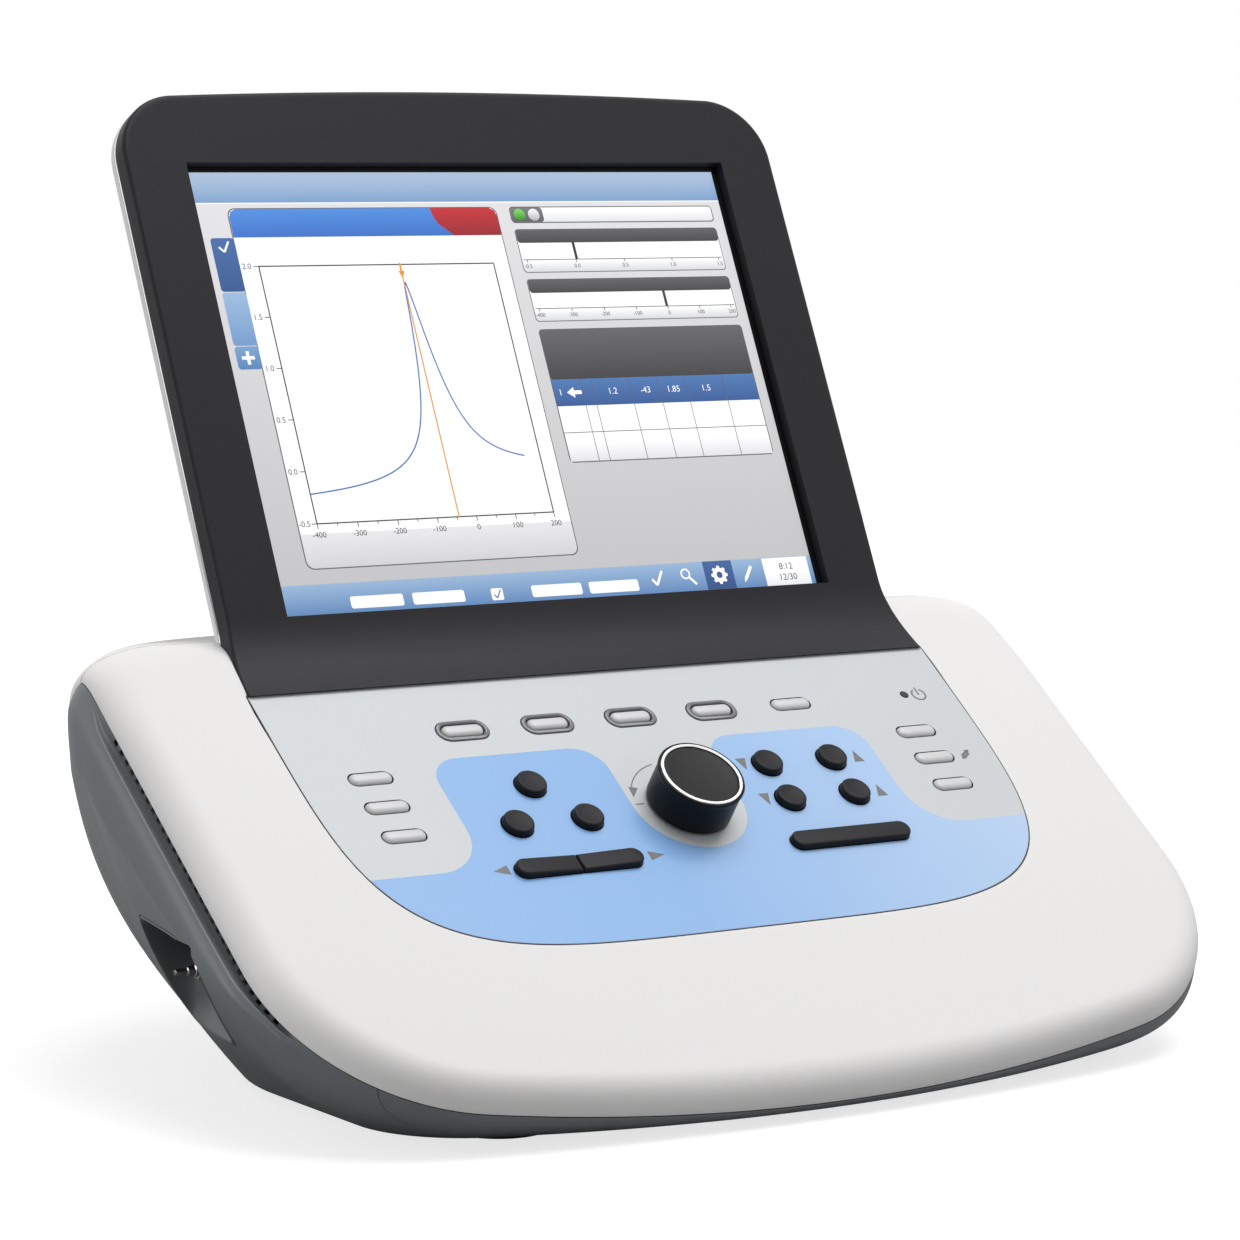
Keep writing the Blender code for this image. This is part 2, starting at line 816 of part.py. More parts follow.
# White covers: one shell split by an upright plane behind the shoulder
def make_covers():
    sheet_shares = (0, 0.145, 0.215, 0.285, 0.36, 1)
    outer_turns = [math.radians(turn) for turn in (22.5, 45, 67.5, 90)]
    inner_turns = [math.radians(turn) for turn in (90, 45, 0)]
    rings = cover_rings(sheet_shares, outer_turns, inner_turns)
    half_size = body_half_width + overrun
    opening = flat_piece("face_opening", [face_ring(seat_gap)], 4 * cover_wall, None, face_frame)
    for name, front_y, rear_y in (("top_cover", -body_front, cover_split_y - seat_gap / 2),
                                  ("rear_cover", cover_split_y + seat_gap / 2, body_front)):
        cover = ringed(name, rings, white_plastic, loop=True)
        keep = boxed(name + "_part", (2 * half_size, rear_y - front_y, 2 * half_size),
                     (0, (front_y + rear_y) / 2, face_top_z / 2), None)
        cut(cover, keep, "INTERSECT")
        cut(cover, opening)
        soften(cover)
    slot_length = 2 * (bracket_half_width + bracket_slot_gap)
    slot_width = bracket_thickness + 2 * bracket_slot_gap
    slot = boxed("bracket_slot", (slot_length, slot_width, 2 * shoulder_radius),
                 (0, bracket_y + bracket_thickness / 2, face_top_z + shoulder_radius / 2), None)
    cut(bpy.data.objects["rear_cover"], slot)


# Grey housing with its two side panels, cut from one hull
def make_housing():
    rings = outer_hull_rings()[::-1]
    shell_rings = rings + inner_hull_rings()[::-1]
    half_length = (panel_rear_y - panel_front_y) / 2
    centre_y = (panel_rear_y + panel_front_y) / 2
    sill_z = foot_height + sill_height
    depth = body_half_width + 2 * overrun - panel_inner_x
    height = face_top_z + overrun - sill_z

    housing = ringed("lower_housing", shell_rings, housing_grey)
    for name, side in (("left", -1), ("right", 1)):
        centre = (side * (panel_inner_x + depth / 2), centre_y, sill_z + height / 2)
        gap = boxed(name + "_bay", (depth + seat_gap, 2 * half_length + seat_gap, height + seat_gap),
                    centre, None)
        cut(housing, gap)
        panel = ringed("side_panel_" + name, shell_rings, housing_grey)
        keep = boxed(name + "_panel_part", (depth, 2 * half_length - seat_gap, height - seat_gap),
                     centre, None)
        cut(panel, keep, "INTERSECT")
        cut(panel, make_vent_cutter(name + "_vents", side))
        soften(panel)
    soften(housing)
    return housing


def make_vent_cutter(name, side):
    """A row of slots along the rim, which follows the body's front corner."""
    reach = channel_back + housing_wall + 2 * channel_round
    corner_x = body_half_width - front_corner_radius
    shape = bmesh.new()
    for index in range(vent_count):
        run = vent_first_run + index * vent_pitch
        into_corner = max(0, run - front_corner_run)
        rim_x = corner_x + math.sqrt(front_corner_radius ** 2 - into_corner ** 2)
        centre = (side * (rim_x + channel_round / 2 - reach / 2), -run,
                  -(rim_drop + vent_drop + vent_height / 2))
        add_box(shape, (reach, vent_length, vent_height), centre)
    return add_mesh(name, shape, None, face_frame)


# Control face: a flush plate on a frame that laps under the cover
row_key_across = [face_half_width * share for share in row_key_shares]
row_key_run = face_length * row_run_share
column_key_across = face_half_width * column_across_share
column_key_runs = [face_length * share for share in column_run_shares]
round_key_places = [(face_half_width * across, face_length * run) for across, run in round_key_shares]
bar_key_across = face_half_width * bar_across_share
bar_key_run = face_length * bar_run_share
power_light_place = (face_half_width * power_light_shares[0], face_length * power_light_shares[1])
knob_run = face_length * knob_run_share
flange_top = -(panel_thickness + seat_gap)
key_bottom = flange_top - key_flange
switch_top = key_bottom - key_travel - seat_gap
board_top = switch_top - switch_height - seat_gap


def make_face_plate():
    holes = []
    for index, across in enumerate(row_key_across):
        if index < lit_keys:
            size = (light_frame_length + 2 * seat_gap, light_frame_width + 2 * seat_gap)
        else:
            size = (oval_key_length + 2 * seat_gap, oval_key_width + 2 * seat_gap)
        holes.append(stadium(*size, centre=(across, -row_key_run)))
    for side in (-1, 1):
        for run in column_key_runs:
            holes.append(stadium(oval_key_length + 2 * seat_gap, oval_key_width + 2 * seat_gap,
                                 centre=(side * column_key_across, -run)))
        holes.append(stadium(bar_key_length + 2 * seat_gap, bar_key_width + 2 * seat_gap,
                             centre=(side * bar_key_across, -bar_key_run)))
    for across, run in round_key_places:
        holes.append(circle(round_key_radius + seat_gap, 12, (across, -run)))
    holes.append(circle(bush_radius + seat_gap, 14, (0, -knob_run)))
    holes.append(circle(power_light_radius + seat_gap, 8, (power_light_place[0], -power_light_place[1])))
    flat_piece("control_panel", [face_ring(0), *holes], panel_thickness, face_grey, face_frame,
               (0, 0, -panel_thickness / 2))
    frame_top = -(max(cover_wall, panel_thickness) + seat_gap)
    flat_piece("panel_frame", [face_ring(frame_lap), face_ring(-frame_lap)], frame_thickness,
               black_plastic, face_frame, (0, 0, frame_top - frame_thickness / 2))


def key_rings(outline_at, proud, crown, dish=0):
    """Stacked outlines of a key: flange under the plate, straight sides and a rounded top."""
    edge = crown / 2
    return [raised(outline_at(key_flange_out), key_bottom),
            raised(outline_at(key_flange_out), flange_top),
            raised(outline_at(0), flange_top),
            raised(outline_at(0), proud - crown),
            raised(outline_at(-2 * edge), proud),
            raised(outline_at(-4 * edge), proud - dish)]


def make_oval_keys():
    crown = 0.5 * mm

    def outline_at(grow):
        return stadium(oval_key_length + 2 * grow, oval_key_width + 2 * grow)

    places = []
    for index, across in enumerate(row_key_across):
        places.append((f"mode_key_{index + 1}", across, row_key_run))
    for name, side in (("left_key", -1), ("right_key", 1)):
        for index, run in enumerate(column_key_runs):
            places.append((f"{name}_{index + 1}", side * column_key_across, run))
    for name, across, run in places:
        rings = key_rings(outline_at, oval_key_proud, crown)[:-1]
        soften(ringed(name, rings, key_grey, face_frame, (across, -run, 0)))

    outer = stadium(light_frame_length, light_frame_width)
    inner = stadium(light_frame_inner_length, light_frame_inner_width)
    rings = [raised(outer, -panel_thickness), raised(outer, light_frame_proud),
             raised(inner, light_frame_proud), raised(inner, -panel_thickness)]
    for index, across in enumerate(row_key_across[:lit_keys]):
        ringed(f"key_light_{index + 1}", rings, light_frame, face_frame, (across, -row_key_run, 0), loop=True)


def make_round_keys():
    crown = 0.6 * mm
    dish = 0.25 * mm
    taper = 0.3 * mm

    def outline_at(grow):
        return circle(round_key_radius + grow - (taper if grow < 0 else 0), 12)

    for index, (across, run) in enumerate(round_key_places):
        rings = key_rings(outline_at, round_key_proud, crown, dish)
        soften(ringed(f"round_key_{index + 1}", rings, key_black, face_frame, (across, -run, 0)))


def bar_half_outline(side, grow):
    """Half of a bar that is split in the middle: square at the split, round at its end."""
    radius = bar_key_width / 2 + grow
    reach = bar_key_length / 2 - bar_key_width / 2
    split = bar_key_split / 2
    points = [(side * split, side * -radius)]
    for step in range(6):
        turn = math.pi * step / 5 - math.pi / 2
        points.append((side * (reach + radius * math.cos(turn)), side * radius * math.sin(turn)))
    points.append((side * split, side * radius))
    points.append((side * split, 0))
    return points


def dipped(outline, height, dip, ends):
    """An outline on a top that dips toward x = 0."""
    return [(x, y, height - dip * (1 - min(1, abs(x) / ends))) for x, y in outline]


def make_bar_keys():
    crown = 0.6 * mm
    ends = bar_key_length / 2
    top = bar_key_proud

    def bar_rings(outline_at, dip):
        return [raised(outline_at(key_flange_out), key_bottom),
                raised(outline_at(key_flange_out), flange_top),
                raised(outline_at(0), flange_top),
                dipped(outline_at(0), top - crown, dip, ends),
                dipped(outline_at(-crown / 2), top - crown / 4, dip, ends),
                dipped(outline_at(-2 * crown), top, dip, ends)]

    for name, side in (("start_key_left", -1), ("start_key_right", 1)):
        rings = bar_rings(lambda grow, side=side: bar_half_outline(side, grow), bar_key_dip)
        soften(ringed(name, rings, key_black, face_frame, (-bar_key_across, -bar_key_run, 0)))

    def whole_outline(grow):
        right = bar_half_outline(1, grow)[1:-2]
        left = bar_half_outline(-1, grow)[1:-2]
        return [(0, -bar_key_width / 2 - grow), *right, (0, bar_key_width / 2 + grow), *left]

    rings = bar_rings(whole_outline, bar_key_dip / 2)
    soften(ringed("present_key", rings, key_black, face_frame, (bar_key_across, -bar_key_run, 0)))


def make_power_light():
    proud = 0.3 * mm
    flange = 1 * mm
    radius = power_light_radius
    profile = ((0, proud), (radius - proud, proud), (radius, 0), (radius, flange_top),
               (radius + flange, flange_top), (radius + flange, flange_top - flange),
               (0, flange_top - flange))
    turned("power_light", profile, 12, lamp_lens, face_frame,
           (power_light_place[0], -power_light_place[1], 0))


# Key board with its switches, under the plate
def make_key_board():
    shape = bmesh.new()
    places = [(across, row_key_run) for across in row_key_across]
    places += [(side * column_key_across, run) for side in (-1, 1) for run in column_key_runs]
    places += list(round_key_places)
    quarter = bar_key_length / 4
    places += [(-bar_key_across - quarter, bar_key_run), (-bar_key_across + quarter, bar_key_run),
               (bar_key_across, bar_key_run)]
    inside_board = board_top - board_thickness / 2
    for across, run in places:
        spot = (across, -run)
        wide = square(switch_side, spot)
        narrow = square(plunger_side, spot)
        add_rings(shape, [raised(wide, inside_board), raised(narrow, switch_top)])
    switches = add_mesh("key_switches", shape, None, face_frame)
    board = flat_piece("key_board", [face_ring(-board_margin, 12)], board_thickness, board_green, face_frame,
                       (0, 0, board_top - board_thickness / 2))
    unite(board, switches)


# Knob on its encoder
def make_knob():
    bore = shaft_radius + seat_gap
    seat_z = knob_height - knob_ring_depth - seat_gap
    shaft_top = seat_z - bush_height
    hub_low = bush_height + seat_gap + 2 * knob_bevel
    knob_steps = 24
    at_knob = (0, -knob_run, 0)

    seat_radius = knob_ring_radius + seat_gap
    body = ((0, seat_z), (seat_radius, seat_z), (seat_radius, knob_height - knob_bevel / 2),
            (knob_rim_radius, knob_height - knob_bevel / 2),
            (knob_rim_radius, knob_height - 2 * knob_bevel), (knob_radius, knob_height - 4 * knob_bevel),
            (knob_radius, knob_lift + knob_bevel), (knob_radius - knob_bevel, knob_lift),
            (knob_cavity_radius, knob_lift), (knob_cavity_radius, knob_cavity_height),
            (knob_hub_radius, knob_cavity_height), (knob_hub_radius, hub_low),
            (bore, hub_low), (bore, shaft_top + seat_gap), (0, shaft_top + seat_gap))
    turned("knob_body", body, knob_steps, soft_rubber, face_frame, at_knob)
    ring_low = knob_height - knob_ring_depth
    ring = ((knob_cap_radius, knob_height), (knob_ring_radius, knob_height),
            (knob_ring_radius, ring_low), (knob_cap_radius, ring_low))
    turned("knob_ring", ring, knob_steps, bright_metal, face_frame, at_knob, closed=True)
    cap_edge = knob_cap_radius - seat_gap
    cap = ((0, knob_height - knob_dish), (cap_edge / 2, knob_height - knob_dish * 3 / 4),
           (cap_edge, knob_height - knob_bevel), (cap_edge, ring_low), (0, ring_low))
    turned("knob_cap", cap, knob_steps, soft_rubber, face_frame, at_knob)
    shaft_low = flange_top
    shaft = ((0, shaft_top), (shaft_radius, shaft_top), (shaft_radius, shaft_low), (0, shaft_low))
    turned("knob_shaft", shaft, 16, steel, face_frame, at_knob)

    body_top = flange_top - seat_gap
    rings = [raised(rounded_box(encoder_side, encoder_side, knob_bevel, 3), board_top + seat_gap),
             raised(rounded_box(encoder_side, encoder_side, knob_bevel, 3), body_top),
             raised(diagonal_circle(bush_radius), body_top),
             raised(diagonal_circle(bush_radius), seat_gap),
             raised(diagonal_circle(bush_nut_radius), seat_gap),
             raised(diagonal_circle(bush_nut_radius), bush_height),
             raised(diagonal_circle(bore), bush_height),
             raised(diagonal_circle(bore), shaft_low - seat_gap)]
    soften(ringed("encoder", rings, steel, face_frame, at_knob))


def hexagon(radius):
    """Six corners with the middle of each side between them."""
    flat = radius * math.cos(math.pi / 6)
    reaches = (radius, flat) * 6
    turns = [math.pi * step / 6 for step in range(12)]
    return [(reach * math.cos(turn), reach * math.sin(turn)) for reach, turn in zip(reaches, turns)]


def diagonal_circle(radius):
    """Circle whose sixteen points face those of a rounded box of three corner segments."""
    points = []
    for quarter in range(4):
        for step in range(4):
            turn = math.pi / 2 * (quarter + (step + 0.5) / 4)
            points.append((radius * math.cos(turn), radius * math.sin(turn)))
    return points


# Screen head: bezel with its chin, bright trim, back shell and display
def screen_outline(inset, tail):
    """Outline of the screen head in its own frame, open shouldered at the foot."""
    half = bezel_half_width - inset
    radius = bezel_corner - inset
    top = bezel_top - inset
    points = [(half + chin_flare, -tail)]
    flare_steps = 4
    for step in range(flare_steps + 1):
        share = step / flare_steps
        points.append((half + chin_flare * (1 - smooth(share)), -chin_drop * (1 - share)))
    corner_segments = 5
    for step in range(corner_segments + 1):
        turn = math.pi / 2 * step / corner_segments
        points.append((half - radius * (1 - math.cos(turn)), top - radius * (1 - math.sin(turn))))
    crown_steps = 3
    for step in range(1, crown_steps + 1):
        share = 1 - step / crown_steps
        points.append(((half - radius) * share, top + bezel_crown * (1 - share ** 2)))
    left = [(-x, y) for x, y in points[-2::-1]]
    return points + left


def chin_profile(inset, back, over):
    """Side view of the bezel's front as (up the screen, out from the glass plane)."""
    radius = (chin_drop ** 2 + chin_rise ** 2) / (2 * chin_rise)
    sweep = math.atan2(chin_drop, radius - chin_rise)
    points = [(bezel_top + over, back), (bezel_top + over, -inset), (0, -inset)]
    chin_steps = 8
    for step in range(1, chin_steps + 1):
        turn = sweep * step / chin_steps
        points.append((-radius * math.sin(turn) + inset * math.sin(turn) / 2,
                       radius * (1 - math.cos(turn)) - inset))
    to_face = math.radians(90) - screen_lean - face_slope
    drop = chin_dip + inset
    last = points[-1]
    points.append((last[0] - drop * math.sin(to_face), last[1] - drop * math.cos(to_face)))
    points.append((-screen_tail, back))
    return points


def make_skin_cutter():
    """Everything under the covers' skin, raised by the gap the screen head keeps to it."""
    runs = [body_front, face_length / 2, 0, -shoulder_start]
    arc_steps = 6
    arc = shoulder_radius * (face_slope + top_fall)
    runs += [-shoulder_start - arc * step / arc_steps for step in range(1, arc_steps + 1)]
    runs.append(-rear_reach)
    line = [on_skin(0, run, -seat_gap)[1:] for run in runs]
    floor_z = foot_height
    outline = [*line, (line[-1][0], floor_z), (line[0][0], floor_z)]
    return flat_piece("skin_cutter", [outline], 4 * body_half_width, None, rotation=side_on)


def make_screen(skin_cutter):
    front = chin_rise + overrun
    wide = 2 * (bezel_half_width + chin_flare + overrun)

    # The front's side view runs along X, so it is turned into the screen's frame
    def side_profile(name, profile, width):
        return flat_piece(name, [profile], width, None, screen_frame, rotation=side_on)

    outer = screen_outline(0, screen_tail)
    bezel = ringed("screen_bezel", [raised(outer, -bezel_depth), raised(outer, front)], bezel_charcoal,
                   screen_frame)
    cut(bezel, side_profile("bezel_front", chin_profile(0, -bezel_depth - overrun, overrun), wide),
        "INTERSECT")
    face_thick = display_recess - seat_gap
    inner = screen_outline(bezel_wall, screen_tail + overrun)
    hollow = ringed("bezel_hollow", [raised(inner, -bezel_depth - overrun), raised(inner, front)], None,
                    screen_frame)
    cut(hollow, side_profile("bezel_inside",
                             chin_profile(face_thick, -bezel_depth - 2 * overrun, 2 * overrun), wide),
        "INTERSECT")
    cut(bezel, hollow)
    window = boxed("window", (2 * window_half_width, window_height, 2 * front),
                   (0, window_height / 2, 0), None, screen_frame)
    cut(bezel, window)
    cut(bezel, skin_cutter)
    soften(bezel)

    trim_back = -bezel_depth - seat_gap - trim_thickness
    trim_outline = screen_outline(0, screen_tail)
    trim_inner = screen_outline(bezel_wall, screen_tail - bezel_wall)
    trim = flat_piece("bezel_trim", [trim_outline, trim_inner], trim_thickness, bright_metal,
                      screen_frame, (0, 0, trim_back + trim_thickness / 2))
    cut(trim, skin_cutter)

    make_back_shell(trim_back - seat_gap, skin_cutter)
    make_display()


def make_back_shell(front_z, skin_cutter):
    """White dish behind the bezel: a short straight lip, then drawn in to a flat back."""
    depths = [shell_depth * share for share in shell_depth_shares]
    insets = [shell_draw * share for share in shell_draw_shares]
    outline = screen_outline(0, screen_tail)
    mid_up = bezel_top / 2
    rings = []
    for depth, inset in zip(depths, insets):
        side_share = (bezel_half_width - inset) / bezel_half_width
        top_share = (mid_up - inset) / mid_up
        rings.append([(x * side_share, min(y, mid_up + (y - mid_up) * top_share), front_z - depth)
                      for x, y in outline])
    shape = bmesh.new()
    add_rings(shape, rings, caps=False)
    bmesh.ops.holes_fill(shape, edges=[edge for edge in shape.edges if edge.is_boundary
                                       and edge.verts[0].co.z < front_z - depths[-2]])
    bmesh.ops.recalc_face_normals(shape, faces=shape.faces)
    shell = add_mesh("screen_back", shape, white_plastic, screen_frame)
    wall = shell.modifiers.new("wall", "SOLIDIFY")
    wall.thickness = shell_wall
    wall.offset = -1
    cut(shell, skin_cutter)
    soften(shell)


def make_display():
    height = display_high + display_foot
    boxed("display_panel", (2 * display_half_width, height, display_thickness),
          (0, (display_high - display_foot) / 2, -display_recess - display_thickness / 2),
          screen_glass, screen_frame)


# Chassis: a bent tray on posts, and the bracket that carries the display
def bent_sheet(line, thickness):
    """Outline of a sheet bent along a line, as thick as given on the line's left."""
    inner = []
    count = len(line)
    for index, (x, y) in enumerate(line):
        before = Vector(line[max(0, index - 1)])
        after = Vector(line[min(count - 1, index + 1)])
        here = Vector((x, y))
        first = (here - before).normalized() if index else (after - here).normalized()
        second = (after - here).normalized() if index < count - 1 else first
        middle = (first + second).normalized()
        normal = Vector((-middle.y, middle.x))
        stretch = thickness / max(0.2, middle.dot(first))
        inner.append(tuple(here + normal * stretch))
    return list(line) + inner[::-1]


def make_chassis():
    width = tray_half_width
    line = ((-width, tray_z + tray_flange), (-width, tray_z), (width, tray_z), (width, tray_z + tray_flange))
    length = tray_rear_y - tray_front_y
    tray = flat_piece("chassis_tray", [bent_sheet(line, tray_thickness)], length, steel,
                      location=(0, (tray_rear_y + tray_front_y) / 2, 0), rotation=(math.pi / 2, 0, 0))
    post_low = foot_height + housing_floor + seat_gap
    post_length = tray_z + tray_thickness / 2 - post_low
    posts = bmesh.new()
    for x in (-width + 4 * post_radius, width - 4 * post_radius):
        for y in (tray_front_y + 3 * post_radius, tray_rear_y - 3 * post_radius):
            add_rod(posts, post_radius, post_length, (x, y, post_low + post_length / 2))
    unite(tray, add_mesh("tray_posts", posts, None))

    panel_back = display_recess + display_thickness + seat_gap
    lean_cos = math.cos(screen_lean)
    lean_sin = math.sin(screen_lean)
    bend_up = (bracket_y - screen_y - panel_back * lean_cos) / lean_sin
    bend_z = screen_z + bend_up * lean_cos - panel_back * lean_sin
    reach = display_high - bend_up - 2 * bracket_foot
    base_z = tray_z + tray_thickness + seat_gap
    line = ((bracket_y + bracket_foot, base_z), (bracket_y, base_z), (bracket_y, bend_z),
            (bracket_y + reach * lean_sin, bend_z + reach * lean_cos))
    sheet = bent_sheet(line[::-1], bracket_thickness)
    flat_piece("display_bracket", [sheet], 2 * bracket_half_width, steel, rotation=side_on)


# Boards, power supply and air pump on the tray
def make_boards(deck_z):
    """Main board on four stands, with a finned heat sink on it."""
    left = -tray_half_width * board_left_share
    right = tray_half_width - board_room
    front = tray_front_y + 4 * post_radius
    width = right - left
    length = board_rear_y - front
    middle = ((left + right) / 2, (front + board_rear_y) / 2)
    board_z = deck_z + seat_gap + board_stand
    board = boxed("main_board", (width, length, board_thickness), (*middle, board_z + board_thickness / 2),
                  board_green)
    stand_length = board_stand + board_thickness / 2
    stands = bmesh.new()
    for x in (left + board_stand_inset, right - board_stand_inset):
        for y in (front + board_stand_inset, board_rear_y - board_stand_inset):
            add_rod(stands, board_stand_radius, stand_length, (x, y, deck_z + seat_gap + stand_length / 2), 8)
    unite(board, add_mesh("board_stands", stands, None))

    pitch = (sink_side - fin_thickness) / (fin_count - 1)
    outline = [(-sink_side / 2, -board_thickness / 2), (sink_side / 2, -board_thickness / 2)]
    for index in reversed(range(fin_count)):
        edge = -sink_side / 2 + index * pitch
        fin = [(edge + fin_thickness, sink_base), (edge + fin_thickness, fin_height),
               (edge, fin_height), (edge, sink_base)]
        outline += fin[1:] if index == fin_count - 1 else fin
    outline.pop()
    sink_place = (middle[0] + sink_right_of_middle, middle[1], board_z + board_thickness)
    unite(board, flat_piece("heat_sink", [outline], sink_side, None, location=sink_place,
                            rotation=(math.pi / 2, 0, 0)))


def make_power_supply(deck_z):
    width = tray_half_width * supply_width_share
    centre_x = supply_room - tray_half_width + width / 2
    supply = boxed("power_supply", (width, supply_length, supply_height),
                   (centre_x, supply_y, deck_z + seat_gap + supply_height / 2), steel)
    edge = supply.modifiers.new("edge", "BEVEL")
    edge.width = supply_edge
    edge.segments = 1


def make_air_pump(deck_z):
    """Pump head with its motor on a cradle; returns the top of the head, where the tube ends."""
    length = tray_half_width * pump_length_share
    pump_x = pump_room - tray_half_width
    pump_y = tray_front_y + pump_back
    head_x = pump_x - pump_head_width / 2
    head_top = deck_z + seat_gap + pump_head_side
    pump = boxed("air_pump", (pump_head_width, pump_head_side, pump_head_side),
                 (head_x, pump_y, head_top - pump_head_side / 2), steel)
    axis_z = deck_z + pump_cradle + pump_radius + 2 * seat_gap
    profile = ((pump_radius, -pump_cradle), (pump_radius, length), (pump_boss_radius, length),
               (pump_boss_radius, length + pump_boss))
    along_x = Matrix.Rotation(math.pi / 2, 3, "Y")
    unite(pump, ringed("pump_motor", spun(profile, 20, (pump_x, pump_y, axis_z), along_x), None))
    cradle_height = pump_cradle + pump_radius / 2
    unite(pump, boxed("motor_cradle", (length - 2 * pump_cradle, pump_cradle_depth, cradle_height),
                      (pump_x + length / 2, pump_y, deck_z + seat_gap + cradle_height / 2), None))
    soften(pump)
    return Vector((head_x, pump_y, head_top))


# Left pocket with its air nipple
def cornered(corners, cut_back):
    """A four cornered outline of (y, z) with its corners rounded off."""
    points = []
    for index, corner in enumerate(corners):
        here = Vector(corner)
        before = (Vector(corners[index - 1]) - here).normalized()
        after = (Vector(corners[(index + 1) % len(corners)]) - here).normalized()
        points += [here + before * cut_back, here + (before + after) * cut_back / 4,
                   here + after * cut_back]
    return points


def mouth_outline(grow):
    return cornered(((mouth_rear_y + grow, mouth_upper_z + grow),
                     (mouth_rear_low_y + grow, mouth_lower_z - grow),
                     (mouth_front_low_y - grow, mouth_lower_z - grow),
                     (mouth_front_y - grow, mouth_upper_z + grow)), mouth_corner)


def floor_outline(grow):
    return cornered(((floor_rear_y + grow, floor_upper_z + grow),
                     (floor_rear_low_y + grow, floor_lower_z - grow),
                     (floor_front_low_y - grow, floor_lower_z - grow),
                     (floor_front_y - grow, floor_upper_z + grow)), floor_corner)


def left_wall_x(y, z, sections):
    """Where the hull's left side stands at a height and a distance back."""
    places = []
    for section in sections:
        share = (section.top - z) / (section.top - foot_height)
        if section.edge[0] < 0 and 0 < share < 1:
            places.append(section.place(section.out(share), z))
    places.sort(key=lambda place: place[1])
    return float(np.interp(y, [place[1] for place in places], [place[0] for place in places]))


def pocket_rings(grow, depth, out):
    """Rings from outside the hull to the mouth in its skin and on to the smaller floor."""
    sections = hull_stations()
    mouth = [(left_wall_x(point.x, point.y, sections), point.x, point.y) for point in mouth_outline(grow)]
    floor_x = depth - pocket_floor_x
    return [[(x - out, y, z) for x, y, z in mouth], mouth,
            [(floor_x, point.x, point.y) for point in floor_outline(grow)]]


def make_pocket():
    floor_x = -pocket_floor_x
    opening = ringed("pocket_opening", pocket_rings(pocket_wall + seat_gap, 2 * pocket_wall, 2 * overrun),
                     None)
    cut(bpy.data.objects["side_panel_left"], opening)
    liner = ringed("side_pocket", pocket_rings(pocket_wall, pocket_wall, overrun), black_plastic)
    hollow = ringed("pocket_hollow", pocket_rings(0, 0, 2 * overrun), None)
    hull = ringed("hull_form", outer_hull_rings(pocket_lip), None)
    cut(liner, hull, "INTERSECT", "MANIFOLD")
    cut(liner, hollow, solver="MANIFOLD")
    hole_radius = nipple_thread + seat_gap
    turn = Matrix.Rotation(math.pi / 2, 4, "Y")
    shape = bmesh.new()
    add_rod(shape, hole_radius, 4 * pocket_wall, (0, 0, 0), 12, turn)
    hole = add_mesh("nipple_hole", shape, None, location=(floor_x, nipple_y, nipple_z))
    cut(liner, hole, solver="MANIFOLD")
    soften(liner)

    tip = nipple_length
    barbed = nipple_radius + nipple_barb
    inside = nipple_inside
    stack = ((circle(nipple_radius, 12), tip), (circle(barbed, 12), tip - 2 * nipple_barb),
             (circle(barbed, 12), tip - 3 * nipple_barb), (circle(nipple_radius, 12), tip - 4 * nipple_barb),
             (circle(nipple_radius, 12), nipple_nut_thickness), (hexagon(nipple_nut), nipple_nut_thickness),
             (hexagon(nipple_nut), 0), (circle(nipple_thread, 12), 0),
             (circle(nipple_thread, 12), -pocket_wall - inside / 2),
             (circle(nipple_radius, 12), -pocket_wall - inside / 2),
             (circle(nipple_radius, 12), -pocket_wall - inside))
    outward = Matrix.Rotation(-math.pi / 2, 3, "Y")
    place = Vector((floor_x - seat_gap, nipple_y, nipple_z))
    rings = [[place + outward @ Vector(point) for point in raised(outline, height)]
             for outline, height in stack]
    soften(ringed("air_nipple", rings, bright_metal))
    return Vector((floor_x + pocket_wall + inside, nipple_y, nipple_z))


def make_air_tube(start, head_top):
    """Tube from the back of the nipple to the pump head's top port."""
    end = head_top + Vector((0, 0, seat_gap))
    first = start + Vector((seat_gap, 0, 0))
    knots = (first, first + Vector((tube_bend / 2, 0, 0)), first + Vector((tube_bend, 0, tube_bend / 4)),
             end + Vector((0, 0, tube_bend)), end + Vector((0, 0, tube_bend / 2)), end)
    curve = bpy.data.curves.new("air_tube", "CURVE")
    curve.dimensions = "3D"
    curve.bevel_depth = tube_radius
    curve.bevel_resolution = 2
    curve.use_fill_caps = True
    spline = curve.splines.new("POLY")
    steps = 13
    route = [bezier(knots, step / steps) for step in range(steps + 1)]
    spline.points.add(steps)
    for point, place in zip(spline.points, route):
        point.co = (*place, 1)
    tube = bpy.data.objects.new("air_tube", curve)
    tube.data.materials.append(soft_rubber)
    part_collection.objects.link(tube)


def bezier(knots, share):
    points = [Vector(knot) for knot in knots]
    while len(points) > 1:
        points = [start.lerp(end, share) for start, end in zip(points, points[1:])]
    return points[0]


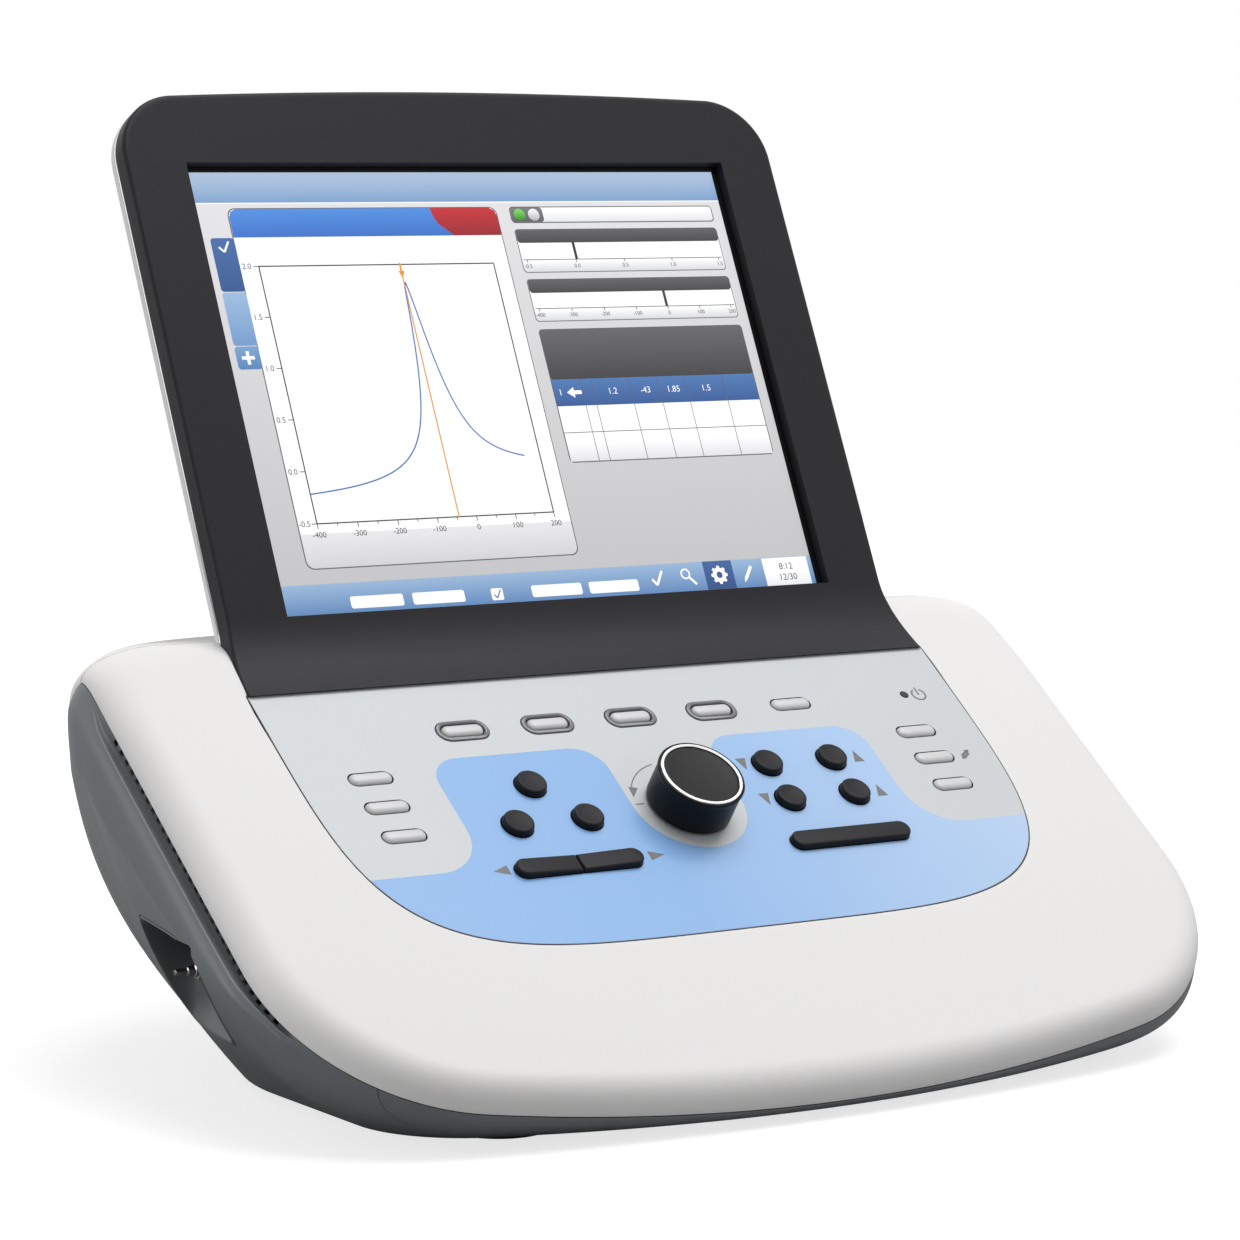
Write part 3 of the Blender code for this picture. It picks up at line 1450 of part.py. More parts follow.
# Rear bay with power inlet, switch and sockets
def make_rear_bay(housing):
    mid_z = (bay_low_z + bay_high_z) / 2
    height = bay_high_z - bay_low_z
    depth = body_front - bay_plate_y

    def block(name, grow, front_y, material):
        size = (2 * (bay_half_width + grow), depth, height + 2 * grow)
        return boxed(name, size, (0, front_y + depth / 2, mid_z), material)

    cut(housing, block("bay_opening", seat_gap, bay_plate_y - 2 * bay_wall, None))
    bay = block("connector_bay", 0, bay_plate_y - bay_wall, housing_grey)
    cut(bay, ringed("rear_form", outer_hull_rings(), None), "INTERSECT", "MANIFOLD")
    cut(bay, block("bay_hollow", -bay_wall, bay_plate_y, None), solver="MANIFOLD")

    make_power_module(bay, bay_half_width * module_share, mid_z)
    make_sockets(bay, bay_half_width * block_share, mid_z)
    make_jack(bay, (bay_half_width * jack_share, bay_plate_y, mid_z))


def make_power_module(bay, centre_x, mid_z):
    """Inlet with its three pins beside a rocker switch, in one flanged moulding."""
    front = bay_plate_y + seat_gap + module_flange
    flange_size = (module_width + 2 * module_lip, module_flange, module_height + 2 * module_lip)
    body = boxed("power_inlet", flange_size, (centre_x, front - module_flange / 2, mid_z), black_plastic)
    unite(body, boxed("module_body", (module_width, module_depth, module_height),
                      (centre_x, front - (module_flange + module_depth) / 2, mid_z), None))
    cut(body, boxed("inlet_socket", (inlet_width, 2 * inlet_depth, inlet_height),
                    (centre_x + inlet_offset, front, mid_z), None))
    cut(body, boxed("rocker_well", (switch_well_width, 2 * inlet_depth, switch_well_height),
                    (centre_x + switch_offset, front, mid_z), None))
    pins = bmesh.new()
    root = module_flange
    pin_size = (pin_thickness, pin_length + root, pin_width)
    pin_y = front - inlet_depth + (pin_length - root) / 2
    for x, z in ((-pin_spread, -pin_low), (pin_spread, -pin_low), (0, pin_high)):
        add_box(pins, pin_size, (centre_x + inlet_offset + x, pin_y, mid_z + z))
    unite(body, add_mesh("inlet_pins", pins, None))
    clear = 2 * seat_gap
    cut(bay, boxed("module_hole", (module_width + clear, 4 * bay_wall, module_height + clear),
                   (centre_x, bay_plate_y, mid_z), None))
    make_rocker((centre_x + switch_offset, front - switch_pivot_in, mid_z))


def make_rocker(pivot):
    """Rocker with a hollowed top, tipped to its off side."""
    rise = switch_pivot_in + module_flange
    reach = switch_well_height / 2 - switch_clear
    steps = 6
    outline = []
    for step in range(steps + 1):
        share = 2 * step / steps - 1
        outline.append((rise - switch_dip * (1 - share ** 2), share * reach))
    depth = rise + switch_clear
    shoulder = reach - switch_clear
    outline += [(-switch_pivot_in / 3, shoulder), (-depth, reach / 3), (-depth, -reach / 3),
                (-switch_pivot_in / 3, -shoulder)]
    rocker = flat_piece("power_switch", [outline], switch_well_width - 2 * switch_clear, black_plastic)
    tilt = Matrix.Rotation(switch_angle, 4, "X")
    upright = Matrix(((0, 0, 1, 0), (1, 0, 0, 0), (0, 1, 0, 0), (0, 0, 0, 1)))
    rocker.matrix_world = Matrix.Translation(pivot) @ tilt @ upright
    soften(rocker)


def make_sockets(bay, centre_x, mid_z):
    """One block with two flat data sockets over each other and a network socket."""
    block_depth = socket_body + socket_lip
    face_y = bay_plate_y + socket_lip
    sockets = boxed("data_sockets", (block_width, block_depth, block_height),
                    (centre_x, face_y - block_depth / 2, mid_z), steel)
    flat_x = 2 * socket_shell + (flat_socket_width - block_width) / 2
    network_x = (block_width - network_width) / 2 - 2 * socket_shell
    lift = block_height / 4
    holes = bmesh.new()
    for width, height, x, z in ((flat_socket_width, flat_socket_height, flat_x, lift),
                                (flat_socket_width, flat_socket_height, flat_x, -lift),
                                (network_width, network_height, network_x, 0)):
        add_box(holes, (width, 2 * socket_depth, height), (centre_x + x, face_y, mid_z + z))
    cut(sockets, add_mesh("socket_holes", holes, None))
    clear = 2 * seat_gap
    cut(bay, boxed("block_hole", (block_width + clear, 4 * bay_wall, block_height + clear),
                   (centre_x, bay_plate_y, mid_z), None))


def make_jack(bay, place):
    """Round jack with its nut, through the plate of the bay."""
    nut_top = seat_gap + jack_nut_depth
    profile = ((jack_radius, -socket_body), (jack_radius, seat_gap), (jack_nut, seat_gap),
               (jack_nut, nut_top), (jack_bore, nut_top), (jack_bore, 2 * socket_shell - socket_body))
    rearward = Matrix.Rotation(-math.pi / 2, 3, "X")
    soften(ringed("round_jack", spun(profile, 16, place, rearward), black_plastic))
    hole = ((jack_radius + seat_gap, -2 * bay_wall), (jack_radius + seat_gap, 2 * bay_wall))
    cut(bay, ringed("jack_hole", spun(hole, 16, place, rearward), None))


# Feet under the housing
def make_feet():
    top = foot_height - seat_gap
    profile = ((foot_radius - foot_edge, 0), (foot_radius - foot_edge / 4, foot_edge), (foot_radius, top))
    places = (("front", base_half_width - foot_front_tuck, foot_front_back - base_front),
              ("rear", base_half_width - foot_rear_tuck, base_rear - foot_rear_back))
    for row, x, y in places:
        for name, side in (("left", -1), ("right", 1)):
            soften(ringed(f"foot_{row}_{name}", spun(profile, 16, (0, 0, 0)), soft_rubber,
                          location=(side * x, y, 0)))


make_covers()
grey_housing = make_housing()
make_face_plate()
make_oval_keys()
make_round_keys()
make_bar_keys()
make_power_light()
make_key_board()
make_knob()
make_screen(make_skin_cutter())
make_chassis()
deck_height = tray_z + tray_thickness
make_boards(deck_height)
make_power_supply(deck_height)
pump_port = make_air_pump(deck_height)
nipple_back = make_pocket()
make_air_tube(nipple_back, pump_port)
make_rear_bay(grey_housing)
make_feet()
bpy.context.view_layer.update()
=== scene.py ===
"""Looks of the clinical tympanometer: a desk instrument with a leaning screen.

Metres, +Z up, the front faces -Y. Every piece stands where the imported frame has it.
"""
import math

import bmesh
import bpy
import numpy as np
from mathutils import Matrix, Vector


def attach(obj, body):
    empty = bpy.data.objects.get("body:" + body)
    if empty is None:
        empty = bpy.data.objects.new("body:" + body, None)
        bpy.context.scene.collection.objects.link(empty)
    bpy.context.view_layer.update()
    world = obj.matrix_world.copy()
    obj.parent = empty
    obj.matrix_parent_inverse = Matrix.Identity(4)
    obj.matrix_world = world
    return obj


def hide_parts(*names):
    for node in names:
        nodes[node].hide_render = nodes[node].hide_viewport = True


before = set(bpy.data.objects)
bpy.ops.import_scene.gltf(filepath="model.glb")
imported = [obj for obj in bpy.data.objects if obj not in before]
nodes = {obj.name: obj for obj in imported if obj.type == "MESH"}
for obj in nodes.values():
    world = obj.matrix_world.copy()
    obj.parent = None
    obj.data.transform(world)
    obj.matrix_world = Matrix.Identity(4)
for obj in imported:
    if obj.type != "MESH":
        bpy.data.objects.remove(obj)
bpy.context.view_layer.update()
mm = 0.001

# White covers
# One sheet of white ABS runs up the control face, over a shoulder and down to the rear, with a soft
# rim all round. It is moulded in two halves, clipped together over the shoulder, with a fine
# spark-eroded grain on the outside.
seat_gap = 0.3 * mm
cover_wall = 2.5 * mm
face_slope = math.radians(36.55)
face_top_y, face_top_z = 10.5 * mm, 125 * mm
face_half_width, face_length, face_fullness = 133.3 * mm, 120.7 * mm, 4.6
body_half_width, body_front, body_rear = 178.5 * mm, 187 * mm, -131 * mm
corner_run, corner_radius, straight_end_run = 107 * mm, 68 * mm, -12 * mm
shoulder_start, shoulder_radius = 15 * mm, 30 * mm
top_fall = math.radians(5)
fan_run = 40 * mm
cover_split_y, split_gap, split_shade_half = 40.5 * mm, 0.5 * mm, 0.24 * mm
bracket_slot = ((-62.5 * mm, 42.5 * mm, 110 * mm), (62.5 * mm, 49.5 * mm, 170 * mm))


def smooth(share):
    share = min(1, max(0, share))
    return share * share * (3 - 2 * share)


def ramp(place, start, run):
    """A soft rise from 0 to 1 along a run of millimetres that begins at a start."""
    return smooth((place - start * mm) / (run * mm))


def skin_point(run):
    """Height line of the covers at a distance down the slope: (y, z, slope)."""
    if run > -shoulder_start:
        return (face_top_y - run * math.cos(face_slope), face_top_z - run * math.sin(face_slope),
                face_slope)
    start_y = face_top_y + shoulder_start * math.cos(face_slope)
    start_z = face_top_z + shoulder_start * math.sin(face_slope)
    along = -run - shoulder_start
    turn = min(along / shoulder_radius, face_slope + top_fall)
    slope = face_slope - turn
    flat = along - shoulder_radius * turn
    y = start_y + shoulder_radius * (math.sin(face_slope) - math.sin(slope))
    z = start_z + shoulder_radius * (math.cos(slope) - math.cos(face_slope))
    return y + flat * math.cos(top_fall), z - flat * math.sin(top_fall), slope


def on_skin(across, run, depth):
    y, z, slope = skin_point(run)
    return across, y + depth * math.sin(slope), z - depth * math.cos(slope)


def half_outline(half_width, front, corner_run, radius, rear_run, rear, fullness):
    """Half of the body's outline: a bowed front, a round corner, a straight side and a full rear."""
    centre_x = half_width - radius
    depth = front - corner_run
    front_radius = (centre_x ** 2 + depth ** 2 - radius ** 2) / (2 * (depth - radius))
    turn = math.asin(centre_x / (front_radius - radius))
    points = [(front_radius * math.sin(t), front - front_radius * (1 - math.cos(t)))
              for t in np.linspace(0, turn, 50)[:-1]]
    points += [(centre_x + radius * math.sin(t), corner_run + radius * math.cos(t))
               for t in np.linspace(turn, math.pi / 2, 80)]
    points += [(half_width, t) for t in np.linspace(corner_run, rear_run, 40)[1:-1]]
    power = 2 / fullness
    points += [(half_width * max(0, math.cos(t)) ** power,
                rear_run + (rear - rear_run) * math.sin(t) ** power)
               for t in np.linspace(0, math.pi / 2, 200)]
    return np.array(points)


def fan(outline, centre, angles):
    """Points where an outline's mirrored halves are met by rays from (0, centre)."""
    bearings = np.arctan2(outline[:, 0], outline[:, 1] - centre)
    reaches = np.hypot(outline[:, 0], outline[:, 1] - centre)
    folded = np.abs((angles + math.pi) % (2 * math.pi) - math.pi)
    reach = np.interp(folded, bearings, reaches)
    return np.stack((reach * np.sin(angles), centre + reach * np.cos(angles)), 1)


def face_outline(grow):
    """Half outline of the control face on the slope, from the front middle to the rear middle."""
    power = 2 / face_fullness
    wide, deep = face_half_width + grow, face_length + grow
    half = [(wide * math.sin(t) ** power, deep * max(0, math.cos(t)) ** power)
            for t in math.pi / 2 * np.linspace(0, 1, 240) ** 2.3]
    half = [(across, run) for across, run in half if run > -grow]
    return np.array(half + [(wide, -grow), (0, -grow)])


def body_stations(outline, steps):
    """Directions of the body's sections, closer where its outline turns, one through each face corner."""
    legs = np.diff(outline, axis=0)
    lengths = np.hypot(legs[:, 0], legs[:, 1])
    headings = np.unwrap(np.arctan2(legs[:, 1], legs[:, 0]))
    turning = np.abs(np.gradient(headings))
    effort = np.concatenate(([0], np.cumsum(lengths / lengths.sum() + turning / turning.sum())))
    places = np.linspace(0, effort[-1], steps + 1)
    half = np.arctan2(np.interp(places, effort, outline[:, 0]),
                      np.interp(places, effort, outline[:, 1]) - fan_run)
    corner = math.atan2(face_half_width + seat_gap, -seat_gap - fan_run)
    half[np.argmin(np.abs(half - corner))] = corner
    return np.concatenate((half, -half[-2:0:-1]))


def rim_size(y):
    """Width and depth of the round rim, which is larger toward the rear."""
    return 10 * mm + 16 * mm * ramp(y, 0, 45), 10 * mm + 9 * mm * ramp(y, 36, 34)


def grow_rings(shape, rings):
    """Extrude an edge loop from ring to ring, each point to its own place."""
    ring = [shape.verts.new(place) for place in rings[0]]
    edges = [shape.edges.new(pair) for pair in zip(ring, ring[1:] + ring[:1])]
    for places in rings[1:]:
        grown = bmesh.ops.extrude_edge_only(shape, edges=edges)["geom"]
        fresh = {part for part in grown if isinstance(part, bmesh.types.BMVert)}
        edges = [part for part in grown if isinstance(part, bmesh.types.BMEdge)
                 and part.verts[0] in fresh and part.verts[1] in fresh]
        ring = [next(edge.other_vert(point) for edge in point.link_edges if edge.other_vert(point) in fresh)
                for point in ring]
        for point, place in zip(ring, places):
            point.co = place
    return ring


def feed(node, inputs):
    """Give each of a node's inputs a constant or another node's output."""
    for key, value in inputs.items():
        if isinstance(value, bpy.types.NodeSocket):
            node.id_data.links.new(value, node.inputs[key])
        else:
            node.inputs[key].default_value = value


def add_node(tree, kind, inputs, output):
    """A new shader node, known by its output."""
    node = tree.nodes.new("ShaderNode" + kind)
    feed(node, inputs)
    return node.outputs[output]


def blend(tree, share, low_colour, high_colour):
    """A colour between two, by a share."""
    node = tree.nodes.new("ShaderNodeMix")
    node.data_type = "RGBA"
    feed(node, {"Factor": share, "A": low_colour, "B": high_colour})
    return node.outputs["Result"]


def new_material(name):
    material = bpy.data.materials.new(name)
    material.use_nodes = True
    tree = material.node_tree
    return material, tree, tree.nodes["Principled BSDF"], add_node(tree, "TexCoord", {}, "Object")


def moulded(name, colour, roughness, grain=1400, relief=0.25, drift=0.03, specular=0.5, metallic=0.0):
    """Moulded plastic: an even fine grain, with a colour and a gloss that drift a little."""
    material, tree, shader, place = new_material(name)
    cloud = add_node(tree, "TexNoise", {"Scale": 22, "Detail": 3, "Vector": place}, "Fac")
    pits = add_node(tree, "TexNoise", {"Scale": grain, "Detail": 2, "Vector": place}, "Fac")
    darker = (*[part * (1 - drift) for part in colour], 1)
    lighter = (*[min(1, part * (1 + drift)) for part in colour], 1)
    gloss = {"To Min": roughness - 0.05, "To Max": roughness + 0.05, "Value": cloud}
    bump = {"Strength": relief, "Distance": 0.05 * mm, "Height": pits}
    feed(shader, {"Base Color": blend(tree, cloud, darker, lighter), "Metallic": metallic,
                  "Roughness": add_node(tree, "MapRange", gloss, "Result"),
                  "Specular IOR Level": specular, "Normal": add_node(tree, "Bump", bump, "Normal")})
    return material


def to_mesh(name, shape):
    mesh = bpy.data.meshes.new(name)
    shape.to_mesh(mesh)
    shape.free()
    return mesh


def add_object(name, data):
    thing = bpy.data.objects.new(name, data)
    bpy.context.scene.collection.objects.link(thing)
    return thing


def soften(mesh, crease=35):
    """Shade a mesh round, but for the edges that turn by more than an angle."""
    mesh.shade_smooth()
    mesh.set_sharp_from_angle(angle=math.radians(crease))


def add_piece(name, shape, material, stands_for=(), body="base", crease=35):
    """One finished piece from a bmesh, riding on a body and standing for its solids."""
    mesh = to_mesh(name, shape)
    mesh.materials.append(material)
    soften(mesh, crease)
    piece = add_object(name, mesh)
    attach(piece, body)
    if stands_for:
        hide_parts(*stands_for)
    return piece


def settle(piece):
    """Turn a piece's modifiers into its mesh."""
    bpy.context.view_layer.update()
    seen = piece.evaluated_get(bpy.context.evaluated_depsgraph_get())
    mesh = bpy.data.meshes.new_from_object(seen)
    piece.modifiers.clear()
    piece.data = mesh
    soften(mesh)


def carve(piece, cutter_shape):
    """Cut a closed form out of a piece."""
    cutter = add_object("cutter", to_mesh("cutter", cutter_shape))
    step = piece.modifiers.new("cut", "BOOLEAN")
    step.operation = "DIFFERENCE"
    step.solver = "EXACT"
    step.object = cutter
    settle(piece)
    bpy.data.objects.remove(cutter, do_unlink=True)


def box_form(low, high):
    """A closed box between two corners."""
    low, high = Vector(low), Vector(high)
    shape = bmesh.new()
    matrix = Matrix.Translation((low + high) / 2) @ Matrix.Diagonal((*(high - low), 1))
    bmesh.ops.create_cube(shape, size=1, matrix=matrix)
    return shape


def heal(shape, reach=0.001 * mm):
    """Join points that meet, and turn every face outward."""
    bmesh.ops.remove_doubles(shape, verts=shape.verts, dist=reach)
    bmesh.ops.recalc_face_normals(shape, faces=shape.faces)


def slice_at(shape, place, normal, clear=True):
    parts = shape.verts[:] + shape.edges[:] + shape.faces[:]
    bmesh.ops.bisect_plane(shape, geom=parts, plane_co=place, plane_no=normal, clear_outer=clear)


def fill_holes(shape):
    bmesh.ops.holes_fill(shape, edges=[edge for edge in shape.edges if edge.is_boundary])


def bevel(shape, edges, offset, segments):
    bmesh.ops.bevel(shape, geom=edges, offset=offset, segments=segments, profile=0.5, affect="EDGES",
                    material=-1)


cover_edge = half_outline(body_half_width, body_front, corner_run, corner_radius, straight_end_run,
                          body_rear, 2.4)
stations = body_stations(cover_edge, 120)
white_shell = moulded("white_shell", (0.79, 0.78, 0.775), 0.55, relief=0.18, drift=0.012, specular=0.3)
gap_shade = moulded("gap_shade", (0.02, 0.02, 0.021), 0.7, relief=0.0)


def cover_rings():
    """Rings of the covers' shell: mouth, top skin, round rim, and back along the inside."""
    rim = fan(cover_edge, fan_run, stations)
    centre = np.array((0, fan_run))
    inward = (centre - rim) / np.linalg.norm(centre - rim, axis=1)[:, None]
    insets, drops = np.array([rim_size(skin_point(place[1])[0]) for place in rim]).T

    def ring(places, depths):
        return [on_skin(place[0], place[1], depth) for place, depth in zip(places, depths)]

    def level(places, depth):
        return ring(places, [depth] * len(places))

    lip = 0.25 * mm
    mouth_gap = 0.42 * mm
    mouth, round_mouth, soft_mouth = [fan(face_outline(mouth_gap + grow), fan_run, stations)
                                      for grow in (0, lip / 3, lip)]
    rim_start = rim + inward * insets[:, None]
    rings = [level(mouth, cover_wall), level(mouth, lip), level(round_mouth, lip / 3)]
    rings += [level(soft_mouth + (rim_start - soft_mouth) * share, 0) for share in np.linspace(0, 1, 44)]
    for turn in np.radians(np.linspace(0, 90, 15)[1:]):
        places = rim + inward * insets[:, None] * (1 - math.sin(turn))
        rings.append(ring(places, drops * (1 - math.cos(turn))))
    for turn in np.radians((90, 60, 30, 0)):
        places = rim + inward * (insets - (insets - cover_wall) * math.sin(turn))[:, None]
        rings.append(ring(places, drops - (drops - cover_wall) * math.cos(turn)))
    rings += [level(mouth + (rim_start - mouth) * share, cover_wall) for share in np.linspace(1, 0, 9)]
    return rings


def cover_part(*cuts):
    """The covers' shell cut off at places across the body, each given with its outward side."""
    shape = bmesh.new()
    grow_rings(shape, cover_rings())
    heal(shape, 0.005 * mm)
    for y, side in cuts:
        slice_at(shape, (0, y, 0), (0, side, 0))
        fill_holes(shape)
    return shape


for name, side, node in (("front_cover", -1, "top_cover"), ("back_cover", 1, "rear_cover")):
    shell = cover_part((cover_split_y + side * split_gap / 2, -side))
    cover = add_piece(name, shell, white_shell, [node])
    carve(cover, box_form(*bracket_slot))

# A dark strip fills the split between the covers. It is painted shade that stands for the shadow in the gap.
split_shade_strip = cover_part((cover_split_y - split_shade_half, -1), (cover_split_y + split_shade_half, 1))
bmesh.ops.recalc_face_normals(split_shade_strip, faces=split_shade_strip.faces)
split_shade = add_piece("split_shade_strip", split_shade_strip, gap_shade)
carve(split_shade, box_form(*bracket_slot))

# Grey housing and side panels
# A dark grey hull hangs under the white rim. Its sides are separate panels in the same textured ABS,
# with a finger channel under the rim, a row of vent slots in the channel, and on the left a pocket.
skin_wall = 0.8 * mm
foot_height = 3 * mm
swell_size, swell_place, swell_power, ridge_size = 6 * mm, 0.13, 2.35, 3.2 * mm
hull_grey = moulded("hull_grey", (0.135, 0.148, 0.157), 0.44, grain=1500, relief=0.9, drift=0.05,
                    specular=0.4)
base_edge = half_outline(141.1 * mm, 130.8 * mm, 73.3 * mm, 38 * mm, 19.2 * mm, -92.8 * mm, 2)
base_fan_y = -32 * mm
bay_front_y, bay_rear_y, bay_inner_x, bay_low_z = -110.5 * mm, 58 * mm, 90 * mm, 6 * mm


def soft_line(points, passes=2):
    """A line with its corners cut again and again, which rounds them."""
    for _ in range(passes):
        cut = [points[0]]
        for (a, b), (c, d) in zip(points, points[1:]):
            cut += [((3 * a + c) / 4, (3 * b + d) / 4), ((a + 3 * c) / 4, (b + 3 * d) / 4)]
        points = cut + [points[-1]]
    return points


def hull_section(across, run):
    """One upright section of the hull as points from the seam down to the flat underside."""
    drop = rim_size(skin_point(run)[0])[1]
    seam = on_skin(across, run, drop)
    top = seam[2] - seat_gap
    edge = np.array(seam[:2])
    bearing = math.atan2(seam[0], base_fan_y - seam[1])
    foot = fan(base_edge, -base_fan_y, np.array([bearing]))[0]
    offset = edge - np.array((foot[0], -foot[1]))
    reach = np.linalg.norm(offset)
    outward = offset / reach
    y = seam[1]
    front = ramp(y, -98.3, 46)
    channel = front * (1 - ramp(y, 13, 17))
    cove = ramp(y, -93.5, 7) * (1 - ramp(y, 14, 15))
    bulge = front * (1 - ramp(y, 30, 40))

    def out(share):
        """How far the skin stands out from the seam at a share of the height."""
        near = share / swell_place
        swell = near * math.exp(1 - near) * (1 - share) / (1 - swell_place)
        return (swell_size * bulge * swell - reach * share ** swell_power
                + ridge_size * channel * (1 - share) ** 2)

    height = top - foot_height
    # Places of (outward, down) where the channel is open, shares of the height where the skin is
    # plain, and the depths at which these points lie at most where the channel is shut.
    groove = ((-1.2, 0.3), (-1.2, 3.3), (-0.4, 4.3), (1, 4.4), (2.3, 3.5), (3.3, 2.5), (4.3, 3.4), (5.8, 7.2))
    plain = (0, 0.012, 0.025, 0.04, 0.055, 0.075, 0.095, 0.12)
    shut = (0.3, 0.4, 0.5, 0.6, 0.75, 1, 2.6, 7.2)
    shrink = min(1, height / (62 * mm))
    width = min(1, max(0.3, out(7.2 * shrink * mm / height) / (5.8 * mm)))
    line = []
    for (side, down), share, near in zip(groove, plain, shut):
        level = min(share * height, (near - 0.3) * mm)
        line.append((cove * side * (width if side > 0 else 1) * mm + (1 - cove) * out(level / height),
                     cove * (down * shrink * mm - seat_gap) + (1 - cove) * level))
    line = soft_line(line + [(out(0.2), 0.2 * height)])[:-1]
    start = max(0.2, (line[-1][1] + 1.5 * mm) / height)
    line += [(out(share), share * height) for share in np.linspace(start, 1, 26)]
    places = [edge + outward * side for side, down in line]
    return [(place[0], place[1], top - down) for place, (side, down) in zip(places, line)]


sections = [hull_section(*place) for place in fan(cover_edge, fan_run, stations)]
hull_rings = list(zip(*sections))


def face_up(shape):
    """Turn an open shell so that its faces look away from its flat end."""
    bmesh.ops.recalc_face_normals(shape, faces=shape.faces)
    if sum(face.normal.z * face.calc_area() for face in shape.faces) > 0:
        bmesh.ops.reverse_faces(shape, faces=shape.faces)


def hull_form():
    """The hull's outside as one open shell with its flat underside."""
    shape = bmesh.new()
    last = grow_rings(shape, hull_rings)
    bmesh.ops.contextual_create(shape, geom=last)
    face_up(shape)
    return shape


def give_wall(piece, thickness):
    wall = piece.modifiers.new("wall", "SOLIDIFY")
    wall.thickness = thickness
    wall.offset = -1
    wall.use_even_offset = False
    settle(piece)


hairline = 0.13 * mm
housing = hull_form()
for side in (-1, 1):
    slice_at(housing, (side * bay_inner_x, 0, 0), (1, 0, 0), False)
slice_at(housing, (0, bay_front_y, 0), (0, 1, 0), False)
slice_at(housing, (0, bay_rear_y, 0), (0, 1, 0), False)
slice_at(housing, (0, 0, bay_low_z), (0, 0, 1), False)
in_bay = []
for face in housing.faces:
    middle = face.calc_center_median()
    if abs(middle.x) > bay_inner_x and bay_front_y < middle.y < bay_rear_y and middle.z > bay_low_z:
        in_bay.append(face)
bmesh.ops.delete(housing, geom=in_bay, context="FACES")
housing_pan = add_piece("housing_pan", housing, hull_grey, ["lower_housing"])
give_wall(housing_pan, skin_wall)
rear_opening = ((-76.3 * mm, 81 * mm, 17.07 * mm), (76.3 * mm, 150 * mm, 54.92 * mm))
carve(housing_pan, box_form(*rear_opening))

vent_count, vent_start, vent_pitch, vent_drop = 29, 3.7 * mm, 4.38 * mm, 12 * mm
vent_long, vent_high, vent_wide, vent_inset = 4.4 * mm, 2.2 * mm, 1.9 * mm, 2.6 * mm
corner_centre_x = 110.5 * mm
face_matrix = Matrix.Translation((0, face_top_y, face_top_z)) @ Matrix.Rotation(face_slope, 4, "X")


def vent_form(side):
    """The slots along the rim, which follow the front corner."""
    shape = bmesh.new()
    for index in range(vent_count):
        run = vent_start + index * vent_pitch
        lean = math.asin(max(0, run - corner_run) / corner_radius)
        rim_x = corner_centre_x + corner_radius * math.cos(lean)
        spot = (Matrix.Translation((side * rim_x, -run, -vent_drop)) @ Matrix.Rotation(-side * lean, 4, "Z")
                @ Matrix.Translation((-side * vent_inset, 0, 0)))
        size = Matrix.Diagonal((vent_long, vent_high, vent_wide, 1))
        bmesh.ops.create_cube(shape, size=1, matrix=face_matrix @ spot @ size)
    return shape


side_skins = {}
for name, side in (("left", -1), ("right", 1)):
    panel = hull_form()
    slice_at(panel, (side * bay_inner_x, 0, 0), (-side, 0, 0))
    slice_at(panel, (0, bay_front_y + hairline, 0), (0, -1, 0))
    slice_at(panel, (0, bay_rear_y - hairline, 0), (0, 1, 0))
    slice_at(panel, (0, 0, bay_low_z + hairline), (0, 0, -1))
    skin = add_piece(f"side_skin_{name}", panel, hull_grey, [f"side_panel_{name}"])
    give_wall(skin, skin_wall)
    carve(skin, vent_form(side))
    side_skins[name] = skin

# Side pocket
# A black-grey moulded liner sits in a slanting cut-out of the left panel. The air line's metal
# nipple passes through its floor and is held by a hexagon nut.
pocket_floor_x = -151 * mm
pocket_lines = moulded("pocket_grey", (0.075, 0.083, 0.088), 0.4, relief=0.2)
mouth_corners = ((12, 57), (24, 22.6), (-26, 22.6), (-48, 57))
floor_corners = ((14.5, 53), (13, 31.3), (-20, 31.3), (-40, 53))


def rounded(corners, grow, cut_back, steps=8):
    """A slanting outline of (y, z) with its corners drawn round."""
    grown = [Vector((y + (grow if index < 2 else -grow), z + (grow if index in (0, 3) else -grow)))
             for index, (y, z) in enumerate(corners)]
    points = []
    for index, corner in enumerate(grown):
        before = (grown[index - 1] - corner).normalized()
        after = (grown[(index + 1) % 4] - corner).normalized()
        start, end = corner + before * cut_back, corner + after * cut_back
        for step in range(steps + 1):
            share = step / steps
            place = start.lerp(corner, share).lerp(corner.lerp(end, share), share)
            points.append((place.x * mm, place.y * mm))
        points += [tuple((end.lerp(grown[(index + 1) % 4] - after * cut_back, share)) * mm)
                   for share in (0.25, 0.5, 0.75)]
    return points


def skin_x(y, z):
    """Where the hull's left side stands at a height and a distance back."""
    places = []
    for section in sections:
        if section[0][0] > 0:
            continue
        heights = [point[2] for point in section][::-1]
        if heights[0] < z < section[-25][2]:
            places.append((np.interp(z, heights, [point[1] for point in section][::-1]),
                           np.interp(z, heights, [point[0] for point in section][::-1])))
    places.sort()
    return float(np.interp(y, [place[0] for place in places], [place[1] for place in places]))


def pocket_rings(grow, depth, out):
    """Rings from outside the hull to the mouth in its skin and on to the smaller floor."""
    mouth = [(skin_x(y, z), y, z) for y, z in rounded(mouth_corners, grow, 5)]
    floor = [(pocket_floor_x + depth * mm, y, z) for y, z in rounded(floor_corners, grow, 2.5)]
    return [[(x - out, y, z) for x, y, z in mouth], mouth, floor]


def ring_form(rings):
    """A closed form through rings, with flat ends."""
    shape = bmesh.new()
    last = grow_rings(shape, rings)
    bmesh.ops.contextual_create(shape, geom=last)
    fill_holes(shape)
    bmesh.ops.recalc_face_normals(shape, faces=shape.faces)
    return shape


